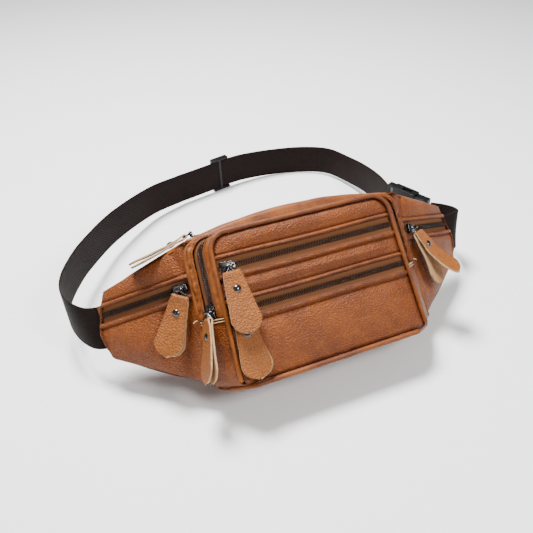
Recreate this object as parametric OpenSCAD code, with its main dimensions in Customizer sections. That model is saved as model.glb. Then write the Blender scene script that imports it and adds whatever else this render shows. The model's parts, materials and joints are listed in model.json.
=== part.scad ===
/* Leather waist pack: a two-wing body with a zipped front pouch, six zips
   with leather pulls, and a webbing belt with a side-release buckle.
   The pack leans back on its own belt loop, which stands on edge behind it. */

/* [Body] */
// How far the pack leans back on its belt, in degrees
lean = 38; // [30:1:45]
// Height of the body at its outer corners
body_h = 127; // [120:1:140]
// How much higher the middle of the top edge is
crown_rise = 12; // [8:1:16]
// Depth of the body from the back panel to the pouch seam
body_d = 41; // [36:1:46]
// Half of the length from wing tip to wing tip
wing_x = 184; // [178:1:190]
// Leather thickness
leather_t = 2; // [1.4:0.2:2.4]
// Thickness of the padded back panel
back_t = 4; // [3:0.5:5]

/* [Pouch] */
// Half width of the pouch at its body seam, at the top
seam_half_top = 101; // [98:1:104]
// Half width of the pouch at its body seam, at the bottom
seam_half_base = 106; // [103:1:109]
// Half width of the front panel, at the top
front_half_top = 82; // [78:1:86]
// Half width of the front panel, at the bottom
front_half_base = 87; // [83:1:91]
// Depth of the front panel's top edge in front of the back
front_d_top = 60; // [56:1:64]
// Depth of the front panel's bottom edge in front of the back
front_d_base = 69; // [65:1:73]
// Corner radius of the front panel
corner_r = 15; // [10:1:20]
// Radius of the pouch's bottom corners
base_r = 5; // [4:1:8]
// Radius of the piping cord
piping_r = 2; // [1.4:0.2:2.4]

/* [Zips] */
// Height of the upper front zip
zip_upper_z = 99; // [96:1:102]
// Height of the lower front zip
zip_lower_z = 62; // [59:1:65]
// Width of the slot that shows the zip tape
slot_w = 13; // [12:0.5:14]
// Width of the closed coil
chain_w = 5; // [4:0.5:6]
// Height of the closed coil above its tape
chain_h = 1.6; // [1.2:0.2:2]

/* [Pulls] */
// Radius of the round end of a pull
pull_r = 12.5; // [11:0.5:14]
// Radius of the folded end of a pull
fold_r = 8.5; // [7:0.5:10]
// Length of a pull
pull_l = 52; // [48:1:54]
// Thickness of the two leather layers of a pull
pull_t = 3.2; // [2.8:0.2:3.6]
// Radius of the rivet head
rivet_r = 3.2; // [2.6:0.2:3.6]

/* [Belt] */
// Width of the webbing
belt_w = 38; // [36:1:39]
// Thickness of the webbing
belt_t = 1.6; // [1.2:0.2:2]

/* [Hidden] */
$fn = 48;
origin_y = 143;
zips = ["main", "left_wing", "gusset", "upper_front", "lower_front", "right_wing"];

tan_leather = [0.69, 0.38, 0.17];
pale_leather = [0.76, 0.45, 0.22];
tape_brown = [0.36, 0.21, 0.14];
coil_brown = [0.12, 0.08, 0.07];
gunmetal = [0.30, 0.30, 0.31];
webbing = [0.13, 0.10, 0.10];
plastic = [0.06, 0.06, 0.06];

eps = 0.01;
flat_half = 95;
tip_front_y = 6;
tip_back_y = 13.5;
tip_low_z = 45;
tip_mid_z = 68;
tip_top_z = 105;
crown_r = (seam_half_top * seam_half_top + crown_rise * crown_rise) / (2 * crown_rise);
crown_zc = body_h + crown_rise - crown_r;
main_zip_y = -22;
main_zip_half = 94;
gusset_end_z = 60;

// ---- vectors ----
function mix(a, b, t) = a + (b - a) * t;
function unit(v) = v / norm(v);
function smooth(t) = let (c = max(0, min(1, t))) c * c * (3 - 2 * c);

// Puts a shape at o with its X along t and its Z along n
module place(o, t, n) {
    z = unit(n);
    x = unit(t - z * (t * z));
    y = cross(z, x);
    multmatrix([
        [x[0], y[0], z[0], o[0]],
        [x[1], y[1], z[1], o[1]],
        [x[2], y[2], z[2], o[2]],
        [0, 0, 0, 1]
    ]) children();
}

// The pack's own upright frame, leant back and moved to the origin
module pack() { translate([0, -origin_y, 0]) rotate([-lean, 0, 0]) children(); }

// The belt's frame stands upright on the surface
module ground() { translate([0, -origin_y, 0]) children(); }

// ---- body outline ----
function back_y(x) = let (u = max(0, abs(x) - flat_half) / (wing_x - flat_half))
    tip_back_y * pow(u, 1.6);
function front_y(x) = abs(x) <= seam_half_top ? -body_d
    : mix(-body_d, tip_front_y, (abs(x) - seam_half_top) / (wing_x - 3 - seam_half_top));

function half_outline(d) = concat(
    [[seam_half_base - 6, d], [wing_x - 6 - d, tip_low_z], [wing_x - d, tip_mid_z],
     [wing_x - 12 - d, tip_top_z - d]],
    [for (i = [8:-1:0]) let (x = seam_half_top * i / 8)
        [x, crown_zc + sqrt(crown_r * crown_r - x * x) - d]]);
function mirrored(p) = [for (i = [len(p) - 1:-1:0]) [-p[i][0], p[i][1]]];
function outline(d) = concat(half_outline(d), [for (q = mirrored(half_outline(d))) if (q[0] < -eps) q]);

module outline_block(d) {
    translate([0, 40, 0]) rotate([90, 0, 0]) linear_extrude(120) polygon(outline(d));
}
back_xs = [for (i = [-14:14]) wing_x * i / 14];
// Where the walls meet near the tips, the rim between them ends
rim_x = wing_x - 6;
// Plan between the front wall set back by a and the back set forward by b
module plan(a, b) {
    translate([0, 0, -5]) linear_extrude(body_h + crown_rise + 10) polygon(concat(
        [[-rim_x, front_y(rim_x) + a], [-seam_half_top, -body_d + a],
         [seam_half_top, -body_d + a], [rim_x, front_y(rim_x) + a]],
        [for (i = [14:-1:-14]) let (x = rim_x * i / 14) [x, back_y(x) - b]]));
}

// ---- pouch rings: s runs from the body seam (0) to the front panel (1) ----
function front_depth(z) = mix(front_d_base, front_d_top, z / body_h);
function depth(s, z) = mix(body_d, front_depth(z), s);
function half_w(s, z) = mix(mix(seam_half_base, seam_half_top, z / body_h),
    mix(front_half_base, front_half_top, z / body_h), s);
function arc_pts(cx, cz, r, a0, a1, n) = [for (i = [0:n]) let (a = mix(a0, a1, i / n))
    [cx + r * cos(a), cz + r * sin(a)]];
function seat(p, s) = [p[0], -depth(s, p[1]), p[1]];
// Upper run of a ring, an upside-down U that starts and ends at height z_end
function upper_run(s, d, z_end) = let (w = half_w(s, body_h) - d, r = corner_r - d, zt = body_h - d)
    [for (p = concat([[-half_w(s, z_end) + d, z_end]],
        arc_pts(-w + r, zt - r, r, 180, 90, 7), arc_pts(w - r, zt - r, r, 90, 0, 7),
        [[half_w(s, z_end) - d, z_end]])) seat(p, s)];
function lower_run(s, d, z_end) = let (w = half_w(s, 0) - d, r = base_r - d, zb = 1 + d)
    [for (p = concat([[half_w(s, z_end) - d, z_end]],
        arc_pts(w - r, zb + r, r, 0, -90, 4), arc_pts(-w + r, zb + r, r, 270, 180, 4),
        [[-half_w(s, z_end) + d, z_end]])) seat(p, s)];

// Closed solid through a list of closed loops of equal length
module loft(rings) {
    n = len(rings[0]);
    m = len(rings);
    pts = [for (r = rings) each r];
    sides = [for (j = [0:m - 2], i = [0:n - 1])
        [j * n + i, j * n + (i + 1) % n, (j + 1) * n + (i + 1) % n, (j + 1) * n + i]];
    tris = [for (q = sides) each [[q[0], q[1], q[2]], [q[0], q[2], q[3]]]];
    polyhedron(pts, concat([[for (i = [n - 1:-1:0]) i]], tris, [[for (i = [0:n - 1]) (m - 1) * n + i]]));
}
// Strip of wall along a run, between ring positions s0 and s1 and insets d0 and d1
module wall_strip(run, s0, s1, d0, d1, z_end) {
    a = run == "upper" ? upper_run(s0, d0, z_end) : lower_run(s0, d0, z_end);
    b = run == "upper" ? upper_run(s1, d0, z_end) : lower_run(s1, d0, z_end);
    c = run == "upper" ? upper_run(s1, d1, z_end) : lower_run(s1, d1, z_end);
    e = run == "upper" ? upper_run(s0, d1, z_end) : lower_run(s0, d1, z_end);
    loft([for (i = [0:len(a) - 1]) [a[i], b[i], c[i], e[i]]]);
}
// The upper run at ring position s, set back square to the wall by d
function wall_run(s, d, z_end) = let (a = upper_run(0, 0, z_end), b = upper_run(1, 0, z_end),
    last_i = len(a) - 1)
    [for (i = [0:last_i]) let (
        t = mix(a[min(i + 1, last_i)] - a[max(i - 1, 0)], b[min(i + 1, last_i)] - b[max(i - 1, 0)], s))
        mix(a[i], b[i], s) - unit(cross(b[i] - a[i], t)) * d];
// Strip parallel to the wall, between ring positions s0 and s1 and depths d0 and d1
module inlay(s0, s1, d0, d1, z_end) {
    a = wall_run(s0, d0, z_end);
    b = wall_run(s1, d0, z_end);
    c = wall_run(s1, d1, z_end);
    e = wall_run(s0, d1, z_end);
    loft([for (i = [0:len(a) - 1]) [a[i], b[i], c[i], e[i]]]);
}
// Round cord along a path of points, capped at both ends
module cord_along(path, r) {
    m = len(path);
    rings = [for (i = [0:m - 1]) let (
        t = unit(path[min(i + 1, m - 1)] - path[max(i - 1, 0)]),
        u = unit(cross(t, [0.013, 1, 0.017])), v = cross(t, u))
        [for (k = [0:7]) path[i] + r * (cos(-45 * k) * u + sin(-45 * k) * v)]];
    loft(rings);
}

// ---- belt ----
// Centre line of the long part, from the left wing tip round to the buckle
belt_pts = [
    [-178, 53, 52], [-192, 59, 51], [-203, 76, 50], [-208, 98, 49], [-206, 122, 48],
    [-196, 152, 45], [-178, 188, 41], [-141, 242, 34], [-91, 290, 27], [-50, 311, 23.5],
    [-35, 316, 23], [-5, 324.2, 23], [25, 332.4, 23], [50, 337, 22], [88, 338.5, 19.6],
    [129, 330, 19.1], [160, 305, 22], [174, 267, 24], [178.5, 228, 29], [176.5, 190, 34.5],
    [171, 157, 38]
];
// Centre line of the short part, from the right wing tip to the buckle plug
short_pts = [
    [178, 53, 52], [191.5, 57, 50.5], [202, 67, 47.5], [206.5, 80, 43.5], [203.5, 94, 40],
    [194, 106.5, 38]
];
function spline(p, t) = let (n = len(p), i = min(floor(t), n - 2), f = t - i,
    a = p[max(i - 1, 0)], b = p[i], c = p[i + 1], e = p[min(i + 2, n - 1)])
    0.5 * (2 * b + (c - a) * f + (2 * a - 5 * b + 4 * c - e) * f * f
        + (3 * b - a - 3 * c + e) * f * f * f);
leant_up = [0, sin(lean), cos(lean)];
// Direction across the webbing: along the wing at its end, upright from there on
function across(t, turn_pts) = unit(mix(leant_up, [0, 0, 1], smooth(t / turn_pts)));
// Webbing from spline value t0 to t1, its faces lo and hi away from the centre line
module ribbon(p, t0, t1, steps, lo, hi, w, turn_pts) {
    loft([for (k = [0:steps]) let (
        t = mix(t0, t1, k / steps),
        c = spline(p, t),
        g = unit(spline(p, min(t + 0.02, len(p) - 1)) - spline(p, max(t - 0.02, 0))),
        a = across(t, turn_pts), n = unit(cross(g, a)))
        [c - a * w / 2 + n * lo, c - a * w / 2 + n * hi, c + a * w / 2 + n * hi, c + a * w / 2 + n * lo]]);
}

// ---- body modules ----
module back_panel() color(tan_leather) pack() intersection() {
    outline_block(0);
    translate([0, 0, -5]) linear_extrude(body_h + crown_rise + 10) polygon(concat(
        [for (x = back_xs) [x, back_y(x) - back_t]],
        [for (i = [len(back_xs) - 1:-1:0]) [back_xs[i], back_y(back_xs[i])]]));
}
// The wall between two outlines, between the front and back walls
module rim() difference() {
    intersection() {
        outline_block(0);
        plan(leather_t + 0.4, back_t + 0.2);
    }
    outline_block(leather_t);
}
module top_panel() color(pale_leather) pack() difference() {
    intersection() {
        rim();
        translate([-wing_x, -60, tip_mid_z + 16]) cube([2 * wing_x, 90, 90]);
    }
    translate([-main_zip_half, main_zip_y - slot_w / 2, tip_top_z]) cube([2 * main_zip_half, slot_w, 60]);
}
module bottom_panel() color(tan_leather) pack() intersection() {
    rim();
    translate([-wing_x, -60, -5]) cube([2 * wing_x, 90, tip_mid_z + 5 + 16 - 0.2]);
}

// ---- wings: side is -1 for the left and 1 for the right ----
wing_run = [wing_x - 3 - seam_half_top, tip_front_y + body_d, 0];
wing_len = norm(wing_run);
wing_dir = unit(wing_run);
wing_zip_z0 = 91;
wing_zip_z1 = 84;
wing_zip_from = 4;
function wing_pt(side, u, z) = [side * (seam_half_top + wing_dir[0] * u), -body_d + wing_dir[1] * u, z];
function wing_out(side) = [side * wing_dir[1], -wing_dir[0], 0];
function wing_zip_z(u) = mix(wing_zip_z0, wing_zip_z1, u / wing_len);
// Along the wing zip towards +X
function wing_along(side) = unit(wing_pt(1, wing_len, wing_zip_z1) - wing_pt(1, 0, wing_zip_z0));
function wing_t(side) = side > 0 ? wing_along(1)
    : [wing_along(1)[0], -wing_along(1)[1], -wing_along(1)[2]];
module wing_wall(side) intersection() {
    outline_block(0);
    translate([0, 0, -5]) linear_extrude(160) polygon([
        [side * (seam_half_top + 0.3), -body_d + 0.3], [side * (wing_x - 3), tip_front_y],
        [side * wing_x, front_y(wing_x)], [side * wing_x, front_y(wing_x) + leather_t],
        [side * (seam_half_top + 0.3), -body_d + 0.3 + leather_t]]);
}
module wing_band(side, from, to) place(wing_pt(side, 0, wing_zip_z0), wing_t(side) * side, wing_out(side))
    translate([-12, min(from * side, to * side), -20]) cube([wing_len + 30, abs(to - from), 40]);
module wing_upper(side) intersection() {
    wing_wall(side);
    wing_band(side, slot_w / 2, 90);
}
module wing_lower(side) intersection() {
    wing_wall(side);
    wing_band(side, -130, -slot_w / 2);
}
module left_wing_upper() color(tan_leather) pack() wing_upper(-1);
module left_wing_lower() color(tan_leather) pack() wing_lower(-1);
module right_wing_upper() color(tan_leather) pack() wing_upper(1);
module right_wing_lower() color(tan_leather) pack() wing_lower(1);

// ---- pouch modules ----
module pouch_divider() color(tape_brown) pack() intersection() {
    outline_block(leather_t);
    translate([-seam_half_top, -body_d + 0.2, 0]) cube([2 * seam_half_top, 1, body_h + 20]);
}
slot_s0 = 0.26;
slot_s1 = 0.66;
coil_s0 = 0.39;
coil_s1 = 0.55;
band_end = 0.9;
module gusset_front_band() color(pale_leather) pack()
    wall_strip("upper", slot_s1, band_end, 0, leather_t, gusset_end_z);
module gusset_rear_band() color(pale_leather) pack()
    wall_strip("upper", 0, slot_s0, 0, leather_t, gusset_end_z);
module gusset_base() color(pale_leather) pack()
    wall_strip("lower", 0, band_end, 0, leather_t, gusset_end_z - 0.2);

front_tilt = atan((front_d_base - front_d_top) / body_h);
// Frame of the front panel: X to the right, Y up the panel, Z outwards
module on_front() place([0, -front_d_base, 0], [1, 0, 0], [0, -cos(front_tilt), sin(front_tilt)]) children();
module front_outline(d) hull() for (sx = [-1, 1]) {
    translate([sx * (front_half_base - base_r), base_r + 1]) circle(base_r - d);
    translate([sx * (front_half_top - corner_r), body_h - corner_r]) circle(corner_r - d);
}
module front_strip(z0, z1) color(tan_leather) pack() on_front()
    translate([0, 0, -leather_t]) linear_extrude(leather_t) intersection() {
        front_outline(piping_r);
        translate([-120, z0]) square([240, z1 - z0]);
    }
module front_strip_top() front_strip(zip_upper_z + slot_w / 2, body_h + 20);
module front_strip_middle() front_strip(zip_lower_z + slot_w / 2, zip_upper_z - slot_w / 2);
module front_strip_bottom() front_strip(-20, zip_lower_z - slot_w / 2);

piping_s = 0.97;
module front_piping() color(pale_leather) pack() cord_along(upper_run(piping_s, -0.4, 5), piping_r);
// Runs along the foot of the pouch: back to front, across and back again
base_turn = 10;
base_x = front_half_base - base_turn * 0.4;
base_corner = arc_pts(base_x - base_turn, -front_d_base + base_turn, base_turn, -90, -41, 6);
function foot(p) = [p[0], p[1], -piping_r * 0.5];
base_half = concat([foot([0, -front_d_base])], [for (p = base_corner) foot(p)],
    [foot([seam_half_base - 0.5, -body_d - 0.5])]);
module base_piping() color(pale_leather) pack() cord_along(concat(
    [for (i = [len(base_half) - 1:-1:1]) [-base_half[i][0], base_half[i][1], base_half[i][2]]],
    base_half), piping_r);

// ---- zips ----
tape_t = 0.8;
tape_w = slot_w + 6;
tape_drop = leather_t + 0.3;
// Two tapes side by side under the slot, X along the zip, face of the tape at z = 0
module tapes(len_x) for (s = [-1, 1])
    translate([0, s > 0 ? 0.15 : -tape_w / 2, -tape_t]) cube([len_x, tape_w / 2 - 0.15, tape_t]);
module coil(len_x) translate([0, -chain_w / 2, 0]) cube([len_x, chain_w, chain_h]);

front_zip_x = front_half_top - 3;
module front_zip_frame(z) on_front() translate([-front_zip_x, z, -tape_drop]) children();
function wing_zip_o(side, u) = wing_pt(side, u, wing_zip_z(u)) - wing_out(side) * tape_drop;
wing_zip_l = wing_len - 12;
module wing_zip_frame(side) place(wing_zip_o(side, side > 0 ? wing_zip_from : wing_zip_from + wing_zip_l),
    wing_t(side), wing_out(side)) children();

module arc_band(r0, r1, y0, y1, half) intersection() {
    translate([0, y1, crown_zc]) rotate([90, 0, 0]) difference() {
        cylinder(r = r1, h = y1 - y0, $fn = 360);
        translate([0, 0, -1]) cylinder(r = r0, h = y1 - y0 + 2, $fn = 360);
    }
    translate([-half, -60, 60]) cube([2 * half, 120, 120]);
}
main_tape_r = crown_r - tape_drop;
module tape_main() color(tape_brown) pack() for (s = [-1, 1])
    arc_band(main_tape_r - tape_t, main_tape_r, main_zip_y + (s > 0 ? 0.15 : -tape_w / 2),
        main_zip_y + (s > 0 ? tape_w / 2 : -0.15), main_zip_half + 3);
module coil_main() color(coil_brown) pack()
    arc_band(main_tape_r, main_tape_r + chain_h, main_zip_y - chain_w / 2, main_zip_y + chain_w / 2,
        main_zip_half);
module tape_left_wing() color(tape_brown) pack() wing_zip_frame(-1) tapes(wing_zip_l);
module tape_right_wing() color(tape_brown) pack() wing_zip_frame(1) tapes(wing_zip_l);
module coil_left_wing() color(coil_brown) pack() wing_zip_frame(-1) coil(wing_zip_l);
module coil_right_wing() color(coil_brown) pack() wing_zip_frame(1) coil(wing_zip_l);
module tape_upper_front() color(tape_brown) pack() front_zip_frame(zip_upper_z) tapes(2 * front_zip_x);
module tape_lower_front() color(tape_brown) pack() front_zip_frame(zip_lower_z) tapes(2 * front_zip_x);
module coil_upper_front() color(coil_brown) pack() front_zip_frame(zip_upper_z) coil(2 * front_zip_x);
module coil_lower_front() color(coil_brown) pack() front_zip_frame(zip_lower_z) coil(2 * front_zip_x);
coil_mid = (coil_s0 + coil_s1) / 2;
module tape_gusset() color(tape_brown) pack() {
    inlay(slot_s0 - 0.05, coil_mid - 0.005, tape_drop, tape_drop + tape_t, gusset_end_z + 2);
    inlay(coil_mid + 0.005, slot_s1 + 0.05, tape_drop, tape_drop + tape_t, gusset_end_z + 2);
}
module coil_gusset() color(coil_brown) pack()
    inlay(coil_s0, coil_s1, tape_drop - chain_h, tape_drop - 0.12, gusset_end_z + 2);

// ---- sliders and pulls, built in the zip's own frame: X along, Z outwards ----
bar_h = 7;
bar_r = 0.9;
eye_r = 1.75;
run_gap = 0.35;
slider_l = 12;
slider_w = 9;
slider_top = chain_h + run_gap + 1.6;
module slider_shape(turn) {
    difference() {
        translate([-slider_l / 2, -slider_w / 2, run_gap]) cube([slider_l, slider_w, slider_top - run_gap]);
        translate([-slider_l, -chain_w / 2 - run_gap, -1])
            cube([2 * slider_l, chain_w + 2 * run_gap, chain_h + run_gap + 1]);
    }
    rotate([0, 0, turn]) {
        translate([-4, 0, bar_h]) rotate([0, 90, 0]) cylinder(r = bar_r, h = 8);
        for (s = [-1, 1]) translate([s * 3.4 - 0.7, -bar_r, slider_top - eps])
            cube([1.4, 2 * bar_r, bar_h - slider_top]);
    }
}
// Turned so that the pull hangs along -Y, with the swing axis along X
module hang(turn, tilt) rotate([0, 0, turn]) translate([0, 0, bar_h]) rotate([-tilt, 0, 0]) children();
module bail_shape() {
    difference() {
        translate([-1.8, 0, 0]) rotate([0, 90, 0]) cylinder(r = eye_r, h = 3.6);
        translate([-4, 0, 0]) rotate([0, 90, 0]) cylinder(r = bar_r + 0.08, h = 8);
    }
    for (s = [-1, 1]) translate([s * 1.2, -1.2, 0]) rotate([90, 0, s * 28]) cylinder(r = 0.6, h = 6.4);
    translate([-5, -6.9, 0]) rotate([0, 90, 0]) cylinder(r = 0.7, h = 10);
}
pull_top = 5.6;
module pull_outline() hull() {
    translate([0, -fold_r]) circle(fold_r);
    translate([0, -pull_l + pull_r]) circle(pull_r);
}
rivet_y = -14.5;
module pull_place(yaw, roll) translate([0, -pull_top, 0]) rotate([0, 0, yaw]) rotate([0, roll, 0]) children();
// Two layers of leather that part by the angle splay below the rivet
module pull_shape(splay) difference() {
    if (splay == 0) translate([0, 0, -pull_t / 2]) linear_extrude(pull_t) pull_outline();
    else for (s = [-1, 1]) rotate([-s * splay / 2, 0, 0])
        translate([0, 0, s > 0 ? 0.02 : -pull_t / 2]) linear_extrude(pull_t / 2 - 0.02) pull_outline();
    translate([0, rivet_y, -10]) cylinder(r = 1.5, h = 20);
}
// Domed heads on a shank that fills its hole
module rivet_shape(open) translate([0, rivet_y, 0]) {
    cylinder(r = 1.5, h = pull_t + open, center = true);
    for (s = [-1, 1]) translate([0, 0, s * (pull_t / 2 + open / 2)]) intersection() {
        translate([0, 0, -s * (rivet_r - 1.1) * 1.2]) sphere(r = rivet_r * 1.18);
        translate([-5, -5, s > 0 ? 0 : -5]) cube([10, 10, 5]);
    }
}

// Places of the six sliders: [origin, along, outwards, turn, tilt, yaw, roll, splay]
leg_seam = upper_run(0, 0, gusset_end_z + 2);
leg_front = upper_run(1, 0, gusset_end_z + 2);
leg_lo = mix(leg_seam[0], leg_front[0], coil_mid);
leg_hi = mix(leg_seam[1], leg_front[1], coil_mid);
gusset_n = unit(cross(leg_front[0] - leg_seam[0] + leg_front[1] - leg_seam[1], leg_hi - leg_lo));
main_a = asin(-88 / crown_r);
front_n = [0, -cos(front_tilt), sin(front_tilt)];
front_up = [0, sin(front_tilt), cos(front_tilt)];
function on_front_pt(x, z) = [0, -front_d_base, 0] + [x, 0, 0] + front_up * z - front_n * tape_drop;
rest = [
    [[main_tape_r * sin(main_a), main_zip_y, crown_zc + main_tape_r * cos(main_a)],
        [cos(main_a), 0, -sin(main_a)], [sin(main_a), 0, cos(main_a)], -90, -6, 0, 0, 0],
    [wing_zip_o(-1, 12), wing_t(-1), wing_out(-1), 0, 3, -32, 0, 0],
    [mix(leg_lo, leg_hi, 0.08) - gusset_n * tape_drop, leg_hi - leg_lo, gusset_n, -90, 14.5, 0, -30, 0],
    [on_front_pt(-72, zip_upper_z), [1, 0, 0], front_n, 0, 7, 0, 0, 0],
    [on_front_pt(-73, zip_lower_z), [1, 0, 0], front_n, 0, 0, 0, 0, 0],
    [wing_zip_o(1, 18), wing_t(1), wing_out(1), 0, 18, 13, 0, 22]
];
module at_slider(k) pack() place(rest[k][0], rest[k][1], rest[k][2]) children();
module slider(k) color(gunmetal) at_slider(k) slider_shape(rest[k][3]);
module bail(k) color(gunmetal) at_slider(k) hang(rest[k][3], rest[k][4]) bail_shape();
module pull(k) color(pale_leather) at_slider(k) hang(rest[k][3], rest[k][4])
    pull_place(rest[k][5], rest[k][6]) pull_shape(rest[k][7]);
module rivet(k) color(gunmetal) at_slider(k) hang(rest[k][3], rest[k][4])
    pull_place(rest[k][5], rest[k][6]) rivet_shape(rest[k][7] > 0 ? 4 : 0);

// ---- belt modules ----
last = len(belt_pts) - 1;
loop_at = 11.68;
module belt_long() color(webbing) ground()
    ribbon(belt_pts, 0, last, 90, -belt_t / 2, belt_t / 2, belt_w, 3.5);
module belt_loop_layer() color(webbing) ground()
    ribbon(belt_pts, loop_at, last, 44, belt_t / 2 + 0.3, belt_t * 1.5 + 0.3, belt_w - 1, 3.5);
module belt_short() color(webbing) ground()
    ribbon(short_pts, 0, len(short_pts) - 1, 30, -belt_t / 2, belt_t / 2, belt_w, 2.5);

buckle_a = [171, 157, 38];
buckle_dir = unit([23, -52, 0]);
buckle_mouth = buckle_a + buckle_dir * 36.5;
// Buckle frame: X from socket to plug, Z up across the webbing
module at_buckle() ground() place(buckle_mouth, buckle_dir, [0, 0, 1]) children();
socket_h = 46;
socket_t = 11;
arm_x = 0.6;
arm_z = 13.5;
module buckle_socket() color(plastic) at_buckle() difference() {
    union() {
        translate([-30, -socket_t / 2, -socket_h / 2]) cube([30, socket_t, socket_h]);
        translate([-38, -3.5, -socket_h / 2]) cube([8.5, 7, socket_h]);
    }
    translate([-27, -3.2, -18.5]) cube([28, 6.4, 37]);
    for (s = [-1, 1]) translate([-19, -3.2, s > 0 ? 15 : -25]) cube([12, 6.4, 10]);
    translate([-35.2, -5, -belt_w / 2 - 0.5]) cube([4.2, 10, belt_w + 1]);
}
module buckle_plug() color(plastic) at_buckle() {
    difference() {
        translate([0.3, -5, -21]) cube([15.7, 10, 42]);
        translate([8, -6, -belt_w / 2 - 0.5]) cube([4.5, 12, belt_w + 1]);
        for (s = [-1, 1]) translate([-1, -3.2, s * arm_z - 4.6]) cube([4.6, 6.4, 9.2]);
    }
    translate([-25, -2.6, -3]) cube([25.4, 5.2, 6]);
}
// Each arm flexes about its round root
module buckle_arm(s) color(plastic) at_buckle() {
    translate([-20, -2.6, s * arm_z - 2.5]) cube([20 + arm_x, 5.2, 5]);
    translate([arm_x, 2.6, s * arm_z]) rotate([90, 0, 0]) cylinder(r = 2.5, h = 5.2);
    translate([-18, -2.6, s > 0 ? 15.9 : -21]) cube([10, 5.2, 5.1]);
}
module buckle_arm_upper() buckle_arm(1);
module buckle_arm_lower() buckle_arm(-1);

glide_at = 11.57;
module tri_glide() color(plastic) ground() {
    c = spline(belt_pts, glide_at);
    g = unit(spline(belt_pts, glide_at + 0.1) - spline(belt_pts, glide_at - 0.1));
    place(c, g, [0, 0, 1]) {
        for (s = [-1, 1]) translate([-12, -3.4, s * (belt_w / 2 + 2.2) - 1.5]) cube([24, 6.8, 3]);
        for (x = [-12, 9]) translate([x, 1.2, -belt_w / 2 - 3]) cube([3, 2.2, belt_w + 6]);
        translate([-2.5, -3.4, -belt_w / 2 - 3]) cube([3, 2.2, belt_w + 6]);
    }
}

back_panel();
top_panel();
bottom_panel();
left_wing_upper();
left_wing_lower();
right_wing_upper();
right_wing_lower();
pouch_divider();
gusset_front_band();
gusset_rear_band();
gusset_base();
front_strip_top();
front_strip_middle();
front_strip_bottom();
front_piping();
base_piping();
tape_main();
tape_left_wing();
tape_gusset();
tape_upper_front();
tape_lower_front();
tape_right_wing();
coil_main();
coil_left_wing();
coil_gusset();
coil_upper_front();
coil_lower_front();
coil_right_wing();
for (k = [0:5]) {
    slider(k);
    bail(k);
    pull(k);
    rivet(k);
}
belt_long();
belt_loop_layer();
belt_short();
tri_glide();
buckle_socket();
buckle_plug();
buckle_arm_upper();
buckle_arm_lower();
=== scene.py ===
"""Leather waist pack: leather panels, zips, pulls and belt over the CAD frame."""
import json
import math

import bmesh
import bpy
import numpy as np
from mathutils import Matrix, Vector, noise


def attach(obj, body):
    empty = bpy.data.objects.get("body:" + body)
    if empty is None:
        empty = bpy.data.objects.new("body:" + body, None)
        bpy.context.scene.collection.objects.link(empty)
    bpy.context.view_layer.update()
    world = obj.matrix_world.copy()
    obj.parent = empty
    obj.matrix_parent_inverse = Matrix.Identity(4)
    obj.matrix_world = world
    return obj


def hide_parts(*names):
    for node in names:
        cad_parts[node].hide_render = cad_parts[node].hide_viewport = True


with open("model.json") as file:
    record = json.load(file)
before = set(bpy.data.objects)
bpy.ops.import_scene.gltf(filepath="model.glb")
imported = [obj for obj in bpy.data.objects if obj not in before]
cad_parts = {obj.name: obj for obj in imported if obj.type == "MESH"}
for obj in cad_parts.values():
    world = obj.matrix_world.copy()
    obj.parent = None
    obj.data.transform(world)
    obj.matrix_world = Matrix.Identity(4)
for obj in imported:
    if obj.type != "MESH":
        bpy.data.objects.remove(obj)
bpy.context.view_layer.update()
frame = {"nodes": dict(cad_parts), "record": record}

bl_info = {
    "name": "Leather waist pack",
    "version": (1, 0, 0),
    "blender": (4, 5, 0),
    "location": "View3D > Sidebar > Waist Pack",
    "description": "Builds the leather, zips, pulls, belt and stage of a waist pack",
    "category": "Object",
}

MM = 0.001
JOINTS = {j["name"]: j for j in frame["record"]["behaviour"]["joints"]}
BODY = "pack"
ZIPS = ("main", "left_wing", "gusset", "upper_front", "lower_front", "right_wing")

# Sizes of the pack in its own upright frame, in millimetres, as in the CAD
LEAN = math.radians(38)
ORIGIN_Y = 143
BODY_H, CROWN = 127, 12
BODY_D = 41
WING_X = 184
SEAM_TOP, SEAM_BASE = 101, 106
FRONT_TOP, FRONT_BASE = 82, 87
DEPTH_TOP, DEPTH_BASE = 60, 69
CORNER_R, BASE_R = 15, 5
TIP_FRONT_Y, TIP_BACK_Y = 6, 13.5
TIP_TOP_Z, TIP_MID_Z, TIP_LOW_Z = 105, 68, 45
FLAT_HALF = 95
LEATHER = 2
TAPE_DROP = 2.3
SLOT_W = 13
ZIP_UPPER, ZIP_LOWER = 99, 62
FRONT_ZIP_X = FRONT_TOP - 3
MAIN_ZIP_Y, MAIN_ZIP_HALF = -22, 94
GUSSET_END = 60
WING_ZIP_Z = (91, 84)
BAR_H = 7
PULL_TOP, PULL_L, PULL_R, FOLD_R = 5.6, 52, 12.5, 8.5
RIVET_Y = -14.5
BELT_W, BELT_T = 38, 1.6
WING_RUN_X, WING_RUN_Y = WING_X - 3 - SEAM_TOP, TIP_FRONT_Y + BODY_D
FRONT_LOW, FRONT_HIGH = 1.4, BODY_H - 1.6

# Where the pouch wall's zip, bands and edges lie, from 0 at the body to 1 at the front panel
ZIP_RING = 0.47
REAR_BAND, FRONT_BAND = (-0.01, 0.27), (0.65, 0.93)

# Thickness of the panels' leather and of the other sheets, in millimetres
RIM_WALL, BASE_WALL, WING_WALL, FRONT_WALL, GUSSET_WALL = 1.2, 1.4, 1.4, 1.3, 1.2
PULL_WALL, TAPE_WALL, LINING_WALL = 1.45, 0.7, 0.5

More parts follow.
